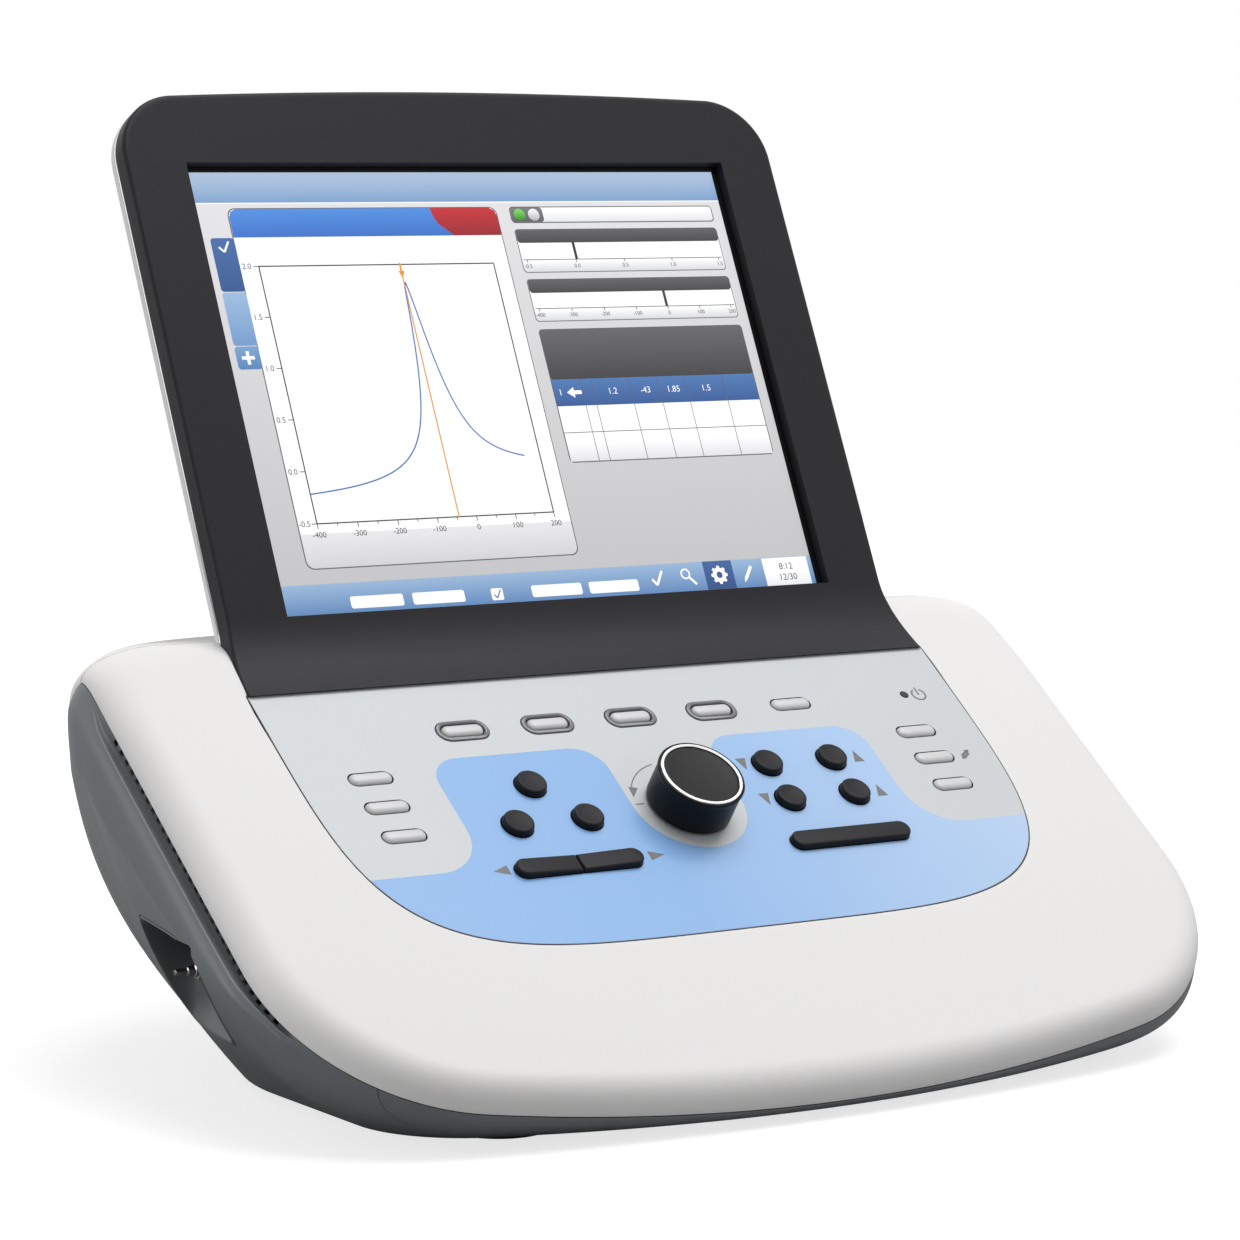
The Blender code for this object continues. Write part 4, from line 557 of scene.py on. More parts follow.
def between(ring, other, share):
    return [tuple(np.array(a) * (1 - share) + np.array(b) * share) for a, b in zip(ring, other)]


def turned_form(profile, closed=False, steps=96):
    """A profile of (radius, height) in millimetres spun about Z."""
    shape = bmesh.new()
    points = [shape.verts.new((radius * mm, 0, height * mm)) for radius, height in profile]
    edges = [shape.edges.new(pair) for pair in zip(points, points[1:])]
    if closed:
        edges.append(shape.edges.new((points[-1], points[0])))
    bmesh.ops.spin(shape, geom=points + edges, cent=(0, 0, 0), axis=(0, 0, 1), angle=2 * math.pi,
                   steps=steps, use_merge=True)
    heal(shape)
    return shape


def placed(shape, matrix):
    bmesh.ops.transform(shape, matrix=matrix, verts=shape.verts)
    return shape


carve(side_skins["left"], ring_form(pocket_rings(1.9, 3.2, 8 * mm)))
_, lip_edge, _ = pocket_rings(1.6, 0, 0)
_, lip_top, _ = pocket_rings(1.1, 0, 0)
_, inner_mouth, inner_floor = pocket_rings(0.5, 0, 0)
_, shoulder_ring, outer_floor = pocket_rings(1.6, 1.6, 0)
bead = [(x - 0.35 * mm, y, z) for x, y, z in lip_top]
liner_rings = [between(inner_floor, [(pocket_floor_x, 0, 40 * mm)] * len(inner_floor), 0.5), inner_floor,
               between(inner_floor, inner_mouth, 0.04), between(inner_floor, inner_mouth, 0.5),
               between(inner_floor, inner_mouth, 0.94), between(inner_mouth, bead, 0.6), bead,
               between(lip_edge, bead, 0.5), lip_edge, between(shoulder_ring, outer_floor, 0.3), outer_floor]
add_piece("pocket_liner", ring_form(liner_rings), pocket_lines, ["side_pocket"], crease=40)

bright_metal = moulded("turned_nickel", (0.42, 0.41, 0.39), 0.22, grain=600, relief=0.05, drift=0.02,
                       metallic=1)
nipple_profile = [(0, 9.6), (0.55, 9.6), (0.55, 10.4), (0.75, 10.4), (0.95, 10.2), (1.05, 10), (1.05, 6.2),
                  (1.5, 5.9), (1.7, 3.6), (2.1, 3.4), (2.2, 3.1), (2.2, -5), (1.5, -5), (1.5, -8.2),
                  (0, -8.2)]
nipple = turned_form(nipple_profile, steps=40)
nut = bmesh.new()
bmesh.ops.create_cone(nut, cap_ends=True, segments=6, radius1=3.4 * mm, radius2=3.4 * mm, depth=2.4 * mm,
                      matrix=Matrix.Translation((0, 0, 1.5 * mm)))
bevel(nut, nut.edges[:], 0.3 * mm, 2)
nipple.from_mesh(to_mesh("nut", nut))
nipple_matrix = (Matrix.Translation((pocket_floor_x, 8.5 * mm, 39.4 * mm))
                 @ Matrix.Rotation(-math.pi / 2, 4, "Y"))
add_piece("nickel_nipple", placed(nipple, nipple_matrix), bright_metal, ["air_nipple"])

# Control face
# A printed polycarbonate plate lies flush in the cover's opening. It is pale grey, with a sky-blue
# field round the test keys, and its signs are printed in grey ink. Each key comes through a hole.
row_keys = (-64.8, -32.4, 0, 32.4, 64.8)
row_run = 22.8
column_across, column_runs = 107.2, (40.8, 53.9, 67)
round_keys = ((-52.8, 50.3), (-65.9, 67.1), (-39.6, 67.1), (39.7, 50.3), (65.9, 50.3), (39.7, 67.1),
              (65.9, 67.1))
bar_across, bar_run = 52.8, 86.7
knob_run = 65.3
lamp_place = (112.9, 22.7)
frame_hole, oval_hole, bar_hole = (19.9, 9.5), (16.4, 6.1), (47.8, 7.7)
round_hole, shaft_hole, lamp_hole = 5.75, 5, 1.7


def arc(centre, radius, start, end, steps=14):
    """Points of an arc from one bearing to another, in degrees."""
    turns = [math.radians(start + (end - start) * step / steps) for step in range(steps + 1)]
    return [(centre[0] + radius * math.cos(turn), centre[1] + radius * math.sin(turn)) for turn in turns]


def stadium(length, width, centre=(0, 0), steps=14):
    reach = (length - width) / 2
    return (arc((centre[0] + reach, centre[1]), width / 2, -90, 90, steps)
            + arc((centre[0] - reach, centre[1]), width / 2, 90, 270, steps))


def key_holes():
    """Every hole of the face in its own frame, millimetres across and down the slope."""
    holes = [stadium(*(frame_hole if index < 4 else oval_hole), (across, row_run))
             for index, across in enumerate(row_keys)]
    for side in (-1, 1):
        holes += [stadium(*oval_hole, (side * column_across, run)) for run in column_runs]
        holes.append(stadium(*bar_hole, (side * bar_across, bar_run)))
    holes += [arc(place, round_hole, 0, 352.5, 47) for place in round_keys]
    return holes + [arc((0, knob_run), shaft_hole, 0, 345, 23), arc(lamp_place, lamp_hole, 0, 340, 17)]


def drawn_mesh(curve):
    """The mesh of a curve or of a line of text."""
    drawn = add_object("drawn", curve)
    mesh = bpy.data.meshes.new_from_object(drawn.evaluated_get(bpy.context.evaluated_depsgraph_get()))
    bpy.data.objects.remove(drawn)
    return mesh


def sheet_form(outlines, low, high):
    """A flat sheet of the face's frame from outlines in millimetres, with its holes left open."""
    curve = bpy.data.curves.new("outline", "CURVE")
    curve.dimensions = "2D"
    curve.fill_mode = "BOTH"
    curve.extrude = (high - low) / 2
    for outline in outlines:
        spline = curve.splines.new("POLY")
        spline.points.add(len(outline) - 1)
        for point, (across, down) in zip(spline.points, outline):
            point.co = (across * mm, -down * mm, 0, 1)
        spline.use_cyclic_u = True
    shape = bmesh.new()
    shape.from_mesh(drawn_mesh(curve))
    heal(shape)
    bmesh.ops.translate(shape, verts=shape.verts, vec=(0, 0, (low + high) / 2))
    return shape


def on_face(shape):
    return placed(shape, face_matrix)


def face_line(grow=0.0):
    """The whole outline of the face in millimetres, clockwise from the front middle."""
    half = face_outline(grow * mm)[:-1] / mm
    return [tuple(place) for place in half] + [(-across, down) for across, down in half[:0:-1]]


face_pale = moulded("face_pale", (0.565, 0.59, 0.605), 0.36, grain=2600, relief=0.12, drift=0.01)
plate = on_face(sheet_form([face_line(), *key_holes()], -2.5 * mm, 0))
add_piece("face_plate", plate, face_pale, ["control_panel"], crease=30)
# A dark ring fills the gap round the face plate. It is painted shade that stands for the shadow in the gap.
face_shade_ring = on_face(sheet_form([face_line(0.38), face_line(0.03)], -2.3 * mm, -0.05 * mm))
add_piece("face_shade_ring", face_shade_ring, gap_shade, crease=30)

ink_high = 0.04 * mm
face_blue = moulded("face_blue", (0.22, 0.42, 0.75), 0.36, grain=2600, relief=0.12, drift=0.03)
edge_across, edge_run = 127.3, 84.3
front_edge = [(across, down) for across, down in face_line(-0.05) if down > edge_run + 0.2]
front_edge.sort(key=lambda place: -place[0])
blue_line = [(-edge_across, edge_run), *arc((-101.9, 66.8), 17.5, 90, 0), *arc((-73.4, 45.9), 11, 180, 270),
             *arc((-31.2, 45.9), 11, 270, 360), *arc((0.6, 64), 20.8, 180, 0, 40),
             *arc((32.4, 45.9), 11, 180, 270), *arc((74, 45.9), 11, 270, 360),
             *arc((102.5, 66.8), 17.5, 180, 90), (edge_across, edge_run), *front_edge]
inner_holes = [hole for hole in key_holes()
               if any(abs(hole[0][0] - x) < 30 and abs(hole[0][1] - y) < 8
                      for x, y in (*round_keys, (-bar_across, bar_run), (bar_across, bar_run)))]
tree = face_blue.node_tree
shader = tree.nodes["Principled BSDF"]
tint = shader.inputs["Base Color"].links[0].from_socket
place = add_node(tree, "TexCoord", {}, "Object")
across = add_node(tree, "SeparateXYZ", {"Vector": place}, "X")
fade = add_node(tree, "MapRange", {"From Min": -20 * mm, "From Max": 150 * mm, "Value": across}, "Result")
feed(shader, {"Base Color": blend(tree, fade, tint, (0.47, 0.62, 0.83, 1))})
blue_field = on_face(sheet_form([blue_line, *inner_holes], 0, ink_high))
add_piece("blue_field", blue_field, face_blue, crease=30)


def sign_ring(centre, radius, width, start, end):
    outer = arc(centre, radius + width / 2, start, end, 28)
    inner = arc(centre, radius - width / 2, end, start, 28)
    return outer + inner


def arrow_sign(across, down, way):
    """A triangle that points down for 1 and up for -1."""
    base, point = down - 2.8 * way, down + 2.8 * way
    return [(across - 2.05, base), (across + 2.05, base), (across, point)]


def bar_sign(start, end, width):
    start, end = Vector(start), Vector(end)
    side = (end - start).normalized().orthogonal() * width / 2
    return [tuple(start + side), tuple(end + side), tuple(end - side), tuple(start - side)]


grey_ink = moulded("grey_ink", (0.13, 0.135, 0.14), 0.5, relief=0.05)
power_centre = (118.8, 23.2)
signs = [arrow_sign(31, 49.1, 1), arrow_sign(31, 66, 1),
         arrow_sign(76.6, 49.9, -1), arrow_sign(76.6, 66.6, -1),
         [(-25.6, 83.7), (-25.6, 87.9), (-19.9, 85.8)], [(-78.2, 83.7), (-78.2, 87.9), (-83.9, 85.8)],
         sign_ring((0.6, 64.5), 19.5, 0.4, 210, 258), [(-17.4, 54.5), (-14.3, 55.6), (-17.9, 59.6)],
         bar_sign((-18.8, 62.7), (-15.6, 62.7), 0.4), sign_ring((0.6, 64.5), 19.5, 0.4, 282, 330),
         [(18.6, 54.5), (15.5, 55.6), (19.1, 59.6)], bar_sign((16.8, 62.7), (20, 62.7), 0.4),
         bar_sign((18.4, 61.1), (18.4, 64.3), 0.4),
         sign_ring(power_centre, 2.6, 0.6, -62, 242), bar_sign((118.8, 19.7), (118.8, 23.4), 0.6),
         bar_sign((118.9, 54.2), (121.4, 52.6), 0.9), bar_sign((119.6, 55), (122.1, 53.4), 0.9),
         [(122.9, 51.7), (121.9, 53.7), (120.6, 51.9)], [(118.1, 55.9), (118.9, 53.8), (120.3, 55.6)]]
level = ink_high + 0.01 * mm
print_shape = bmesh.new()
for sign in signs:
    print_shape.from_mesh(to_mesh("sign", sheet_form([sign], level, level + 0.02 * mm)))
add_piece("printed_signs", on_face(print_shape), grey_ink, crease=30)


def dress(material, *names):
    """Give solids of the frame that stay in sight a material of this scene."""
    for name in names:
        nodes[name].data.materials.clear()
        nodes[name].data.materials.append(material)


dress(moulded("frame_black", (0.02, 0.02, 0.022), 0.5), "panel_frame")

# Press keys
# Each key is a moulded cap on its own switch, held under the face by a flange. The oval ones are
# pale grey satin, the round and bar ones are black rubber with softly dished tops.
key_satin = moulded("key_satin", (0.62, 0.62, 0.63), 0.34, grain=2400, relief=0.1, drift=0.015)
key_rubber = moulded("key_rubber", (0.009, 0.009, 0.011), 0.42, grain=2400, relief=0.3, drift=0.1,
                     specular=0.14)
flange_depth = 3.8
oval_proud, round_proud, bar_proud = 1.05, 2.5, 2.35


def extrude(shape, places, vector):
    """A face through places, drawn out along a vector. Gives what is new at the far end."""
    base = shape.faces.new([shape.verts.new(place) for place in places])
    fresh = bmesh.ops.extrude_face_region(shape, geom=[base])["geom"]
    far = [part for part in fresh if isinstance(part, bmesh.types.BMVert)]
    bmesh.ops.translate(shape, verts=far, vec=vector)
    return fresh


def key_form(outline, proud, crown, dish=0.0, taper=0.0, at=(0, 0)):
    """A cap from its outline in millimetres: a side from below the face, a round edge and a dished top."""
    shape = bmesh.new()
    low = [(x * mm, y * mm, -flange_depth * mm) for x, y in outline]
    fresh = extrude(shape, low, (0, 0, (flange_depth + proud) * mm))
    cap = next(part for part in fresh if isinstance(part, bmesh.types.BMFace))
    spread = 1 - taper / max(abs(x) for x, y in outline)
    bmesh.ops.scale(shape, vec=(spread, spread, 1), verts=cap.verts)
    bevel(shape, list(cap.edges), crown * mm, 5)
    if dish:
        level_faces = [face for face in shape.faces if face.normal.z > 0.9]
        cap = max(level_faces, key=lambda face: face.calc_area())
        bmesh.ops.inset_region(shape, faces=[cap], thickness=0.6 * mm, depth=-dish * 0.4 * mm)
        bmesh.ops.inset_region(shape, faces=[cap], thickness=1.2 * mm, depth=-dish * 0.6 * mm)
    bmesh.ops.recalc_face_normals(shape, faces=shape.faces)
    bmesh.ops.translate(shape, verts=shape.verts, vec=(at[0] * mm, -at[1] * mm, 0))
    return on_face(shape)


oval_places = [(f"mode_key_{index + 1}", across, row_run) for index, across in enumerate(row_keys)]
for name, side in (("left_key", -1), ("right_key", 1)):
    oval_places += [(f"{name}_{index + 1}", side * column_across, run)
                    for index, run in enumerate(column_runs)]
# Dark rings fill the gaps round the oval keys. They are painted shade that stands for the shadow down in the
# holes.
shade_rings = [stadium(*size, (across, run)) for size in ((16.36, 6.06), (15.9, 5.6))
        for node, across, run in oval_places]
key_shade_rings = on_face(sheet_form(shade_rings, -2.3 * mm, -0.1 * mm))
add_piece("key_shade_rings", key_shade_rings, gap_shade, crease=30)
for node, across, run in oval_places:
    cap = key_form(stadium(15.5, 5.2), oval_proud, 1.8, at=(across, run))
    add_piece(node + "_cap", cap, key_satin, [node], node + "_body", crease=60)


def add_black_key(node, cap):
    add_piece(node + "_cap", cap, key_rubber, [node], node + "_body", crease=60)


for index, place in enumerate(round_keys):
    cap = key_form(arc((0, 0), 5.5, 0, 352.5, 47), round_proud, 0.8, dish=0.35, taper=0.3, at=place)
    add_black_key(f"round_key_{index + 1}", cap)


def half_bar(side):
    """Half of a bar key, with its straight end at the middle."""
    reach, radius = 47.2 / 2 - 3.55, 3.55
    points = [(0.2, -radius), *arc((reach, 0), radius, -90, 90, 16), (0.2, radius)]
    return points if side > 0 else [(-x, -y) for x, y in points]


def dip_middle(shape, across, reach, depth):
    """Lower a bar's top toward its middle."""
    inverse = face_matrix.inverted()
    normal = face_matrix.to_3x3() @ Vector((0, 0, 1))
    for point in shape.verts:
        local = inverse @ point.co
        if local.z > 1 * mm:
            nearness = max(0, 1 - abs(local.x - across * mm) / reach)
            point.co -= normal * depth * smooth(nearness)


for node, side in (("start_key_left", -1), ("start_key_right", 1)):
    cap = key_form(half_bar(side), bar_proud, 0.8, at=(-bar_across, bar_run))
    dip_middle(cap, -bar_across, 12 * mm, 0.6 * mm)
    add_black_key(node, cap)
cap = key_form(stadium(47.2, 7.1, steps=16), bar_proud, 0.8, at=(bar_across, bar_run))
add_black_key("present_key", cap)

# Light frames
# Four of the keys stand in smoked clear frames, which glow when their test is chosen.
smoked = moulded("smoked_clear", (0.17, 0.17, 0.20), 0.12, relief=0.0, drift=0.05)
for index in range(4):
    ring_shape = sheet_form([stadium(19.3, 8.9, (row_keys[index], row_run)),
                             stadium(16.4, 6.1, (row_keys[index], row_run))], -2.5 * mm, 0.5 * mm)
    tops = [edge for edge in ring_shape.edges if all(point.co.z > 0.4 * mm for point in edge.verts)
            and edge.calc_face_angle(0) > 1]
    bevel(ring_shape, tops, 0.35 * mm, 3)
    node = f"key_light_{index + 1}"
    add_piece(f"light_ring_{index + 1}", on_face(ring_shape), smoked, [node])
dress(moulded("lamp_lens", (0.02, 0.025, 0.02), 0.1, relief=0.0), "power_light")

# Knob
# A soft-touch rubber body with a gently tapered side carries a polished ring round its dished cap.
# It turns on the encoder's steel shaft.
knob_rubber = moulded("knob_rubber", (0.006, 0.006, 0.007), 0.38, grain=2200, relief=0.25, drift=0.1,
                      specular=0.14)
polished = moulded("polished_ring", (0.86, 0.86, 0.87), 0.12, relief=0.0, drift=0.01, metallic=1)
knob_matrix = face_matrix @ Matrix.Translation((0, -knob_run * mm, 0))
grip_profile = [(0, 12.2), (14.2, 12.2), (14.2, 13.8), (14.45, 14.1), (14.75, 14.05), (14.95, 13.7),
                (14.95, 13.1), (14.75, 12.5), (14.62, 11.5), (14.62, 8), (14.65, 4), (14.65, 1.6),
                (14.55, 1.1), (14.2, 0.75), (13.5, 0.7), (11.2, 0.7), (11.2, 9.6), (5.4, 9.6), (5.4, 3.1),
                (3.3, 3.1), (3.3, 10.4), (0, 10.4)]
ring_profile = [(12.95, 14.05), (13.1, 14.25), (13.95, 14.25), (14.1, 14.05), (14.1, 12.4), (12.95, 12.4)]
cap_profile = [(0, 13.1), (3, 13.13), (6, 13.22), (9, 13.4), (11.4, 13.66), (12.4, 13.82), (12.7, 13.75),
               (12.8, 13.4), (12.8, 12.4), (0, 12.4)]
grip = placed(turned_form(grip_profile), knob_matrix)
add_piece("knob_grip", grip, knob_rubber, ["knob_body"], "knob", 50)
band = placed(turned_form(ring_profile, True), knob_matrix)
add_piece("knob_band", band, polished, ["knob_ring"], "knob")
dished_cap = placed(turned_form(cap_profile), knob_matrix)
add_piece("knob_dish", dished_cap, knob_rubber, ["knob_cap"], "knob", 50)

# Screen bezel
# One charcoal moulding frames the display and sweeps down in a concave chin to the control face.
# Its face is finely textured, its outer edge is rounded and polished.
screen_lean = math.radians(24.93)
screen_matrix = (Matrix.Translation((0, 30.14 * mm, 147.59 * mm))
                 @ Matrix.Rotation(math.pi / 2 - screen_lean, 4, "X"))
chin_drop, chin_rise = 28.8, 9.5
chin_radius = (chin_drop ** 2 + chin_rise ** 2) / (2 * chin_rise)
head_half, head_top, head_radius, head_crown, foot_flare = 130.3, 187, 23.5, 2.2, 3.1
window_half_x, window_half_y = 108, 80.9
edge_round, wall_inset, trim_tail = 1.6, 2.5, 40
bezel_back, window_depth = -6.5, -3.9


def chin_height(up):
    """How far the bezel's face stands out from the glass plane at a height, in millimetres."""
    if up > 0:
        return 0
    return chin_radius - math.sqrt(max(0, chin_radius ** 2 - up ** 2))


def head_outline(inset, tail=chin_drop):
    """Outline of the screen head in millimetres, from the lower right corner up and round to the left."""
    half = head_half - inset
    radius = head_radius - inset
    top = head_top - inset
    side = [(half + foot_flare, -tail)] if tail > chin_drop else []
    side += [(half + foot_flare * (1 - smooth(step / 14)), -chin_drop * (1 - step / 14))
             for step in range(15)]
    side += [(half, (top - radius) * step / 12) for step in range(1, 12)]
    side += [(half - radius * (1 - math.cos(turn)), top - radius * (1 - math.sin(turn)))
             for turn in np.radians(np.linspace(0, 90, 25))]
    side += [((half - radius) * (1 - step / 12), top + head_crown * (1 - (1 - step / 12) ** 2))
             for step in range(1, 13)]
    foot = [(half * share, -tail) for share in np.linspace(-1, 1, 13)[1:-1]]
    return side + [(-x, y) for x, y in side[-2::-1]] + foot


def window_ring(outline, half_x, half_y, mid_y):
    """The window's edge met by rays through each point of an outline."""
    ring = []
    for x, y in outline:
        stretch = min(half_x / max(abs(x), 1e-9), half_y / max(abs(y - mid_y), 1e-9))
        ring.append([x * stretch, mid_y + (y - mid_y) * stretch])
    for corner_x in (-half_x, half_x):
        for corner_y in (mid_y - half_y, mid_y + half_y):
            near = min(ring, key=lambda place: math.hypot(place[0] - corner_x, place[1] - corner_y))
            near[:] = [corner_x, corner_y]
    return ring


def on_screen(shape):
    return placed(shape, screen_matrix)


def raised(ring, height):
    """A ring in millimetres set to a height, or to a height for each distance up the screen."""
    return [(x * mm, y * mm, (height(y) if callable(height) else height) * mm) for x, y in ring]


def morph(ring, other, share):
    return [(a + (c - a) * share, b + (d - b) * share) for (a, b), (c, d) in zip(ring, other)]


def skin_form():
    """Everything under the covers' skin, raised by the gap that the screen head keeps to it."""
    runs = [body_front, 60 * mm, 0, -shoulder_start]
    runs += [-shoulder_start - shoulder_radius * (face_slope + top_fall) * step / 24 for step in range(1, 25)]
    line = [on_skin(0, run, -0.15 * mm)[1:] for run in runs + [body_rear]]
    line += [(line[-1][0], foot_height), (line[0][0], foot_height)]
    shape = bmesh.new()
    extrude(shape, [(-300 * mm, y, z) for y, z in line], (600 * mm, 0, 0))
    bmesh.ops.recalc_face_normals(shape, faces=shape.faces)
    return shape


def screen_piece(name, rings, material, node):
    """A ring-shaped piece of the screen head, cut off at the covers' skin."""
    shape = bmesh.new()
    grow_rings(shape, rings)
    heal(shape, 0.002 * mm)
    carve(add_piece(name, on_screen(shape), material, [node]), skin_form())


window_edge = window_ring(head_outline(0), window_half_x, window_half_y, window_half_y)
bezel_rings = [raised(head_outline(wall_inset), bezel_back), raised(head_outline(0), bezel_back)]
for turn in np.radians(np.linspace(0, 90, 7)):
    rounding = edge_round * (1 - math.sin(turn))
    outline = head_outline(edge_round * (1 - math.cos(turn)))
    bezel_rings.append(raised(outline, lambda up: chin_height(up) - rounding))
bezel_rings += [raised(morph(head_outline(edge_round), window_edge, share), chin_height)
                for share in np.linspace(0, 1, 26)[1:]]
bezel_rings.append(raised(window_edge, window_depth))
for share in (0.35, 0.7, 1):
    bezel_rings.append(raised(morph(window_edge, head_outline(wall_inset), share),
                              lambda up: chin_height(up) * share + window_depth))
charcoal = moulded("charcoal", (0.016, 0.0155, 0.0195), 0.44, grain=1300, relief=0.8, drift=0.08,
                   specular=0.14)
screen_piece("bezel_moulding", bezel_rings + bezel_rings[:1], charcoal, "screen_bezel")
trim_rings = [raised(head_outline(inset, trim_tail), height) for inset, height in (
    (wall_inset, -7.6), (0.1, -7.6), (0.1, -6.8), (wall_inset, -6.8), (wall_inset, -7.6))]
screen_piece("trim_band", trim_rings, polished, "bezel_trim")

# Screen back
# A white dish closes the screen from behind. It starts with a short straight lip at the trim and is
# drawn in to a flat back, and it is clipped to the bezel.
back_steps = ((0, 0.1), (2.4, 0.1), (3.2, 0.5), (4.6, 1.9), (6.6, 4.2), (9.5, 8.2), (13, 13.4), (17, 19.4),
              (21.5, 27), (26, 35.5), (29, 43), (30.3, 49), (30.5, 52))
back_start, half_up = -7.9, 93.5


def back_ring(depth, inset):
    """The head's outline drawn in at its sides and above its middle."""
    side_share = (head_half - inset) / head_half
    top_share = (half_up - inset) / half_up
    return [(x * side_share * mm, (y if y < half_up else half_up + (y - half_up) * top_share) * mm,
             (back_start - depth) * mm) for x, y in head_outline(0, trim_tail)]


back_shape = bmesh.new()
last = grow_rings(back_shape, [back_ring(*step) for step in back_steps])
bmesh.ops.contextual_create(back_shape, geom=last)
face_up(back_shape)
back = add_piece("screen_dish", on_screen(back_shape), white_shell, ["screen_back"])
give_wall(back, 2.3 * mm)
carve(back, skin_form())

# Display
# A liquid crystal panel sits behind the window, with a black edge round its lit area. The lit area
# shows a test: a plot card, gauges, a table of readings and a bar of tools, as flat lit fields.
dress(moulded("glass_black", (0.006, 0.006, 0.007), 0.22, relief=0.0), "display_panel")
glow, unlit_share = 0.92, 0.12
# The fields' places are read as the camera sees them past the window's edge. They lie this far off.
see_shift = (2.8, 1.34)


def srgb(levels, share):
    """A colour given in levels of 255, in linear light and dimmed by a share."""
    return (*[share * (((level / 255 + 0.055) / 1.055) ** 2.4 if level > 10 else level / 255 / 12.92)
              for level in levels], 1)


def lit(name, low, high=None, low_up=0.0, high_up=1.0):
    """A lit colour of the display, the same all over or shaded from a lower to a higher level."""
    material, tree, shader, place = new_material(name)
    turn = tree.nodes.new("ShaderNodeMapping")
    turn.vector_type = "TEXTURE"
    feed(turn, {"Location": screen_matrix.to_translation(), "Rotation": screen_matrix.to_euler(),
                "Vector": place})
    up = add_node(tree, "SeparateXYZ", {"Vector": turn.outputs["Vector"]}, "Y")
    start, end = [(level + see_shift[1]) * mm for level in (low_up, high_up)]
    rise = add_node(tree, "MapRange", {"From Min": start, "From Max": end, "Value": up}, "Result")
    glowing, unlit = [blend(tree, rise, srgb(low, share), srgb(high or low, share))
                      for share in (1, unlit_share)]
    feed(shader, {"Roughness": 0.3, "Specular IOR Level": 0.3, "Emission Strength": glow,
                  "Emission Color": glowing, "Base Color": unlit})
    return material


def tile(left, low, right, high, radius=0.0):
    """A field with round corners, in millimetres on the display as the camera sees it."""
    if not radius:
        return [(left, low), (right, low), (right, high), (left, high)]
    corners = ((right - radius, low + radius), (right - radius, high - radius),
               (left + radius, high - radius), (left + radius, low + radius))
    return [place for index, corner in enumerate(corners)
            for place in arc(corner, radius, 90 * index - 90, 90 * index, 5)]


def stroke(points, width):
    """Short bars along a line, one for each step of it."""
    return [bar_sign(start, end, width) for start, end in zip(points, points[1:])]


def film_place(x, y, layer):
    """A place on the display, on a film that lies above the films of lower layers."""
    return (x + see_shift[0]) * mm, (y + see_shift[1]) * mm, (-4.17 + 0.05 * (layer + 1)) * mm


def show(name, layer, colour, *fields):
    """Fields of one colour, given as a material or as what lit needs, as a thin film on the display."""
    material = colour if isinstance(colour, bpy.types.Material) else lit("lit_" + name, *colour)
    shape = bmesh.new()
    for field in fields:
        base = shape.faces.new([shape.verts.new(film_place(x, y, layer)) for x, y in field])
        base.normal_update()
        if base.normal.z < 0:
            base.normal_flip()
    bmesh.ops.solidify(shape, geom=shape.faces[:], thickness=0.02 * mm)
    add_piece(name, on_screen(shape), material, crease=30)


def numbers(name, layer, size, material, entries):
    """Plain numbers centred on their places."""
    shape = bmesh.new()
    for text, x, y in entries:
        curve = bpy.data.curves.new(name, "FONT")
        curve.body = text
        curve.size = size * mm
        curve.align_x = "CENTER"
        curve.align_y = "CENTER"
        curve.resolution_u = 3
        mesh = drawn_mesh(curve)
        mesh.transform(Matrix.Translation(film_place(x, y, layer)))
        shape.from_mesh(mesh)
    add_piece(name, on_screen(shape), material, crease=30)


lit_white = lit("lit_white", (253, 253, 254))
lit_ink = lit("lit_ink", (45, 45, 50))
lit_line = lit("lit_line", (96, 98, 104))
left, right, low, high = -108.4, 102.8, 0.13, 158.56
bar_high, row_mid = 10.5, 75

show("field_ground", 0, ((193, 193, 196), (224, 223, 226), 10, 147), tile(left, low, right, high))
show("field_header", 1, ((122, 158, 202), (176, 197, 222), 147.4, 158.5), tile(left, 147.4, right, high))
show("field_header_line", 1, lit_white, tile(left, 147, right, 147.4))
show("card_edge", 1, lit_line, tile(-97.4, 15.6, 8.4, 145.4, 3))
show("card", 2, ((208, 208, 212), (252, 252, 253), 16, 42), tile(-97, 16, 8, 145, 2.8))
show("card_sheet", 3, lit_white, tile(-97, 28, 8, 134.6))
head_split = [(-11, 134.6), (-16.4, 139), (-17.9, 142), (-18.5, 145)]
blue_head = [(-97, 134.6), *head_split, (-94.2, 145), (-96.2, 144), (-97, 142)]
show("card_head", 4, ((52, 108, 196), (74, 140, 222), 134.6, 145), blue_head)
red_tab = [head_split[0], (8, 134.6), (8, 142), (7.2, 144), (5.2, 145), *head_split[:0:-1]]
show("card_tab", 4, ((148, 22, 32), (196, 36, 46), 134.6, 145), red_tab)

plot_left, plot_low, plot_right, plot_high = -90, 31.5, 2, 124
frame_line = tile(plot_left, plot_low, plot_right, plot_high)
ticks = []
for index in range(6):
    height = plot_low + (plot_high - plot_low) * index / 5
    ticks.append(bar_sign((plot_left - 2, height), (plot_left, height), 0.3))
for index in range(13):
    place = plot_left + (plot_right - plot_left) * index / 12
    ticks.append(bar_sign((place, plot_low), (place, plot_low - (1.8 if index % 2 == 0 else 1)), 0.3))
show("plot_frame", 4, lit_ink, *stroke(frame_line + frame_line[:1], 0.45), *ticks)
decapascals = ("-400", "-300", "-200", "-100", "0", "100", "200")
values = [(text, plot_left - 4.6, plot_low + (plot_high - plot_low) * index / 5)
          for index, text in enumerate(("-0.5", "0.0", "0.5", "1.0", "1.5", "2.0"))]
values += [(text, plot_left + (plot_right - plot_left) * index / 6, plot_low - 4)
           for index, text in enumerate(decapascals)]
numbers("plot_numbers", 4, 2.9, lit_ink, values)
peak = -35.5
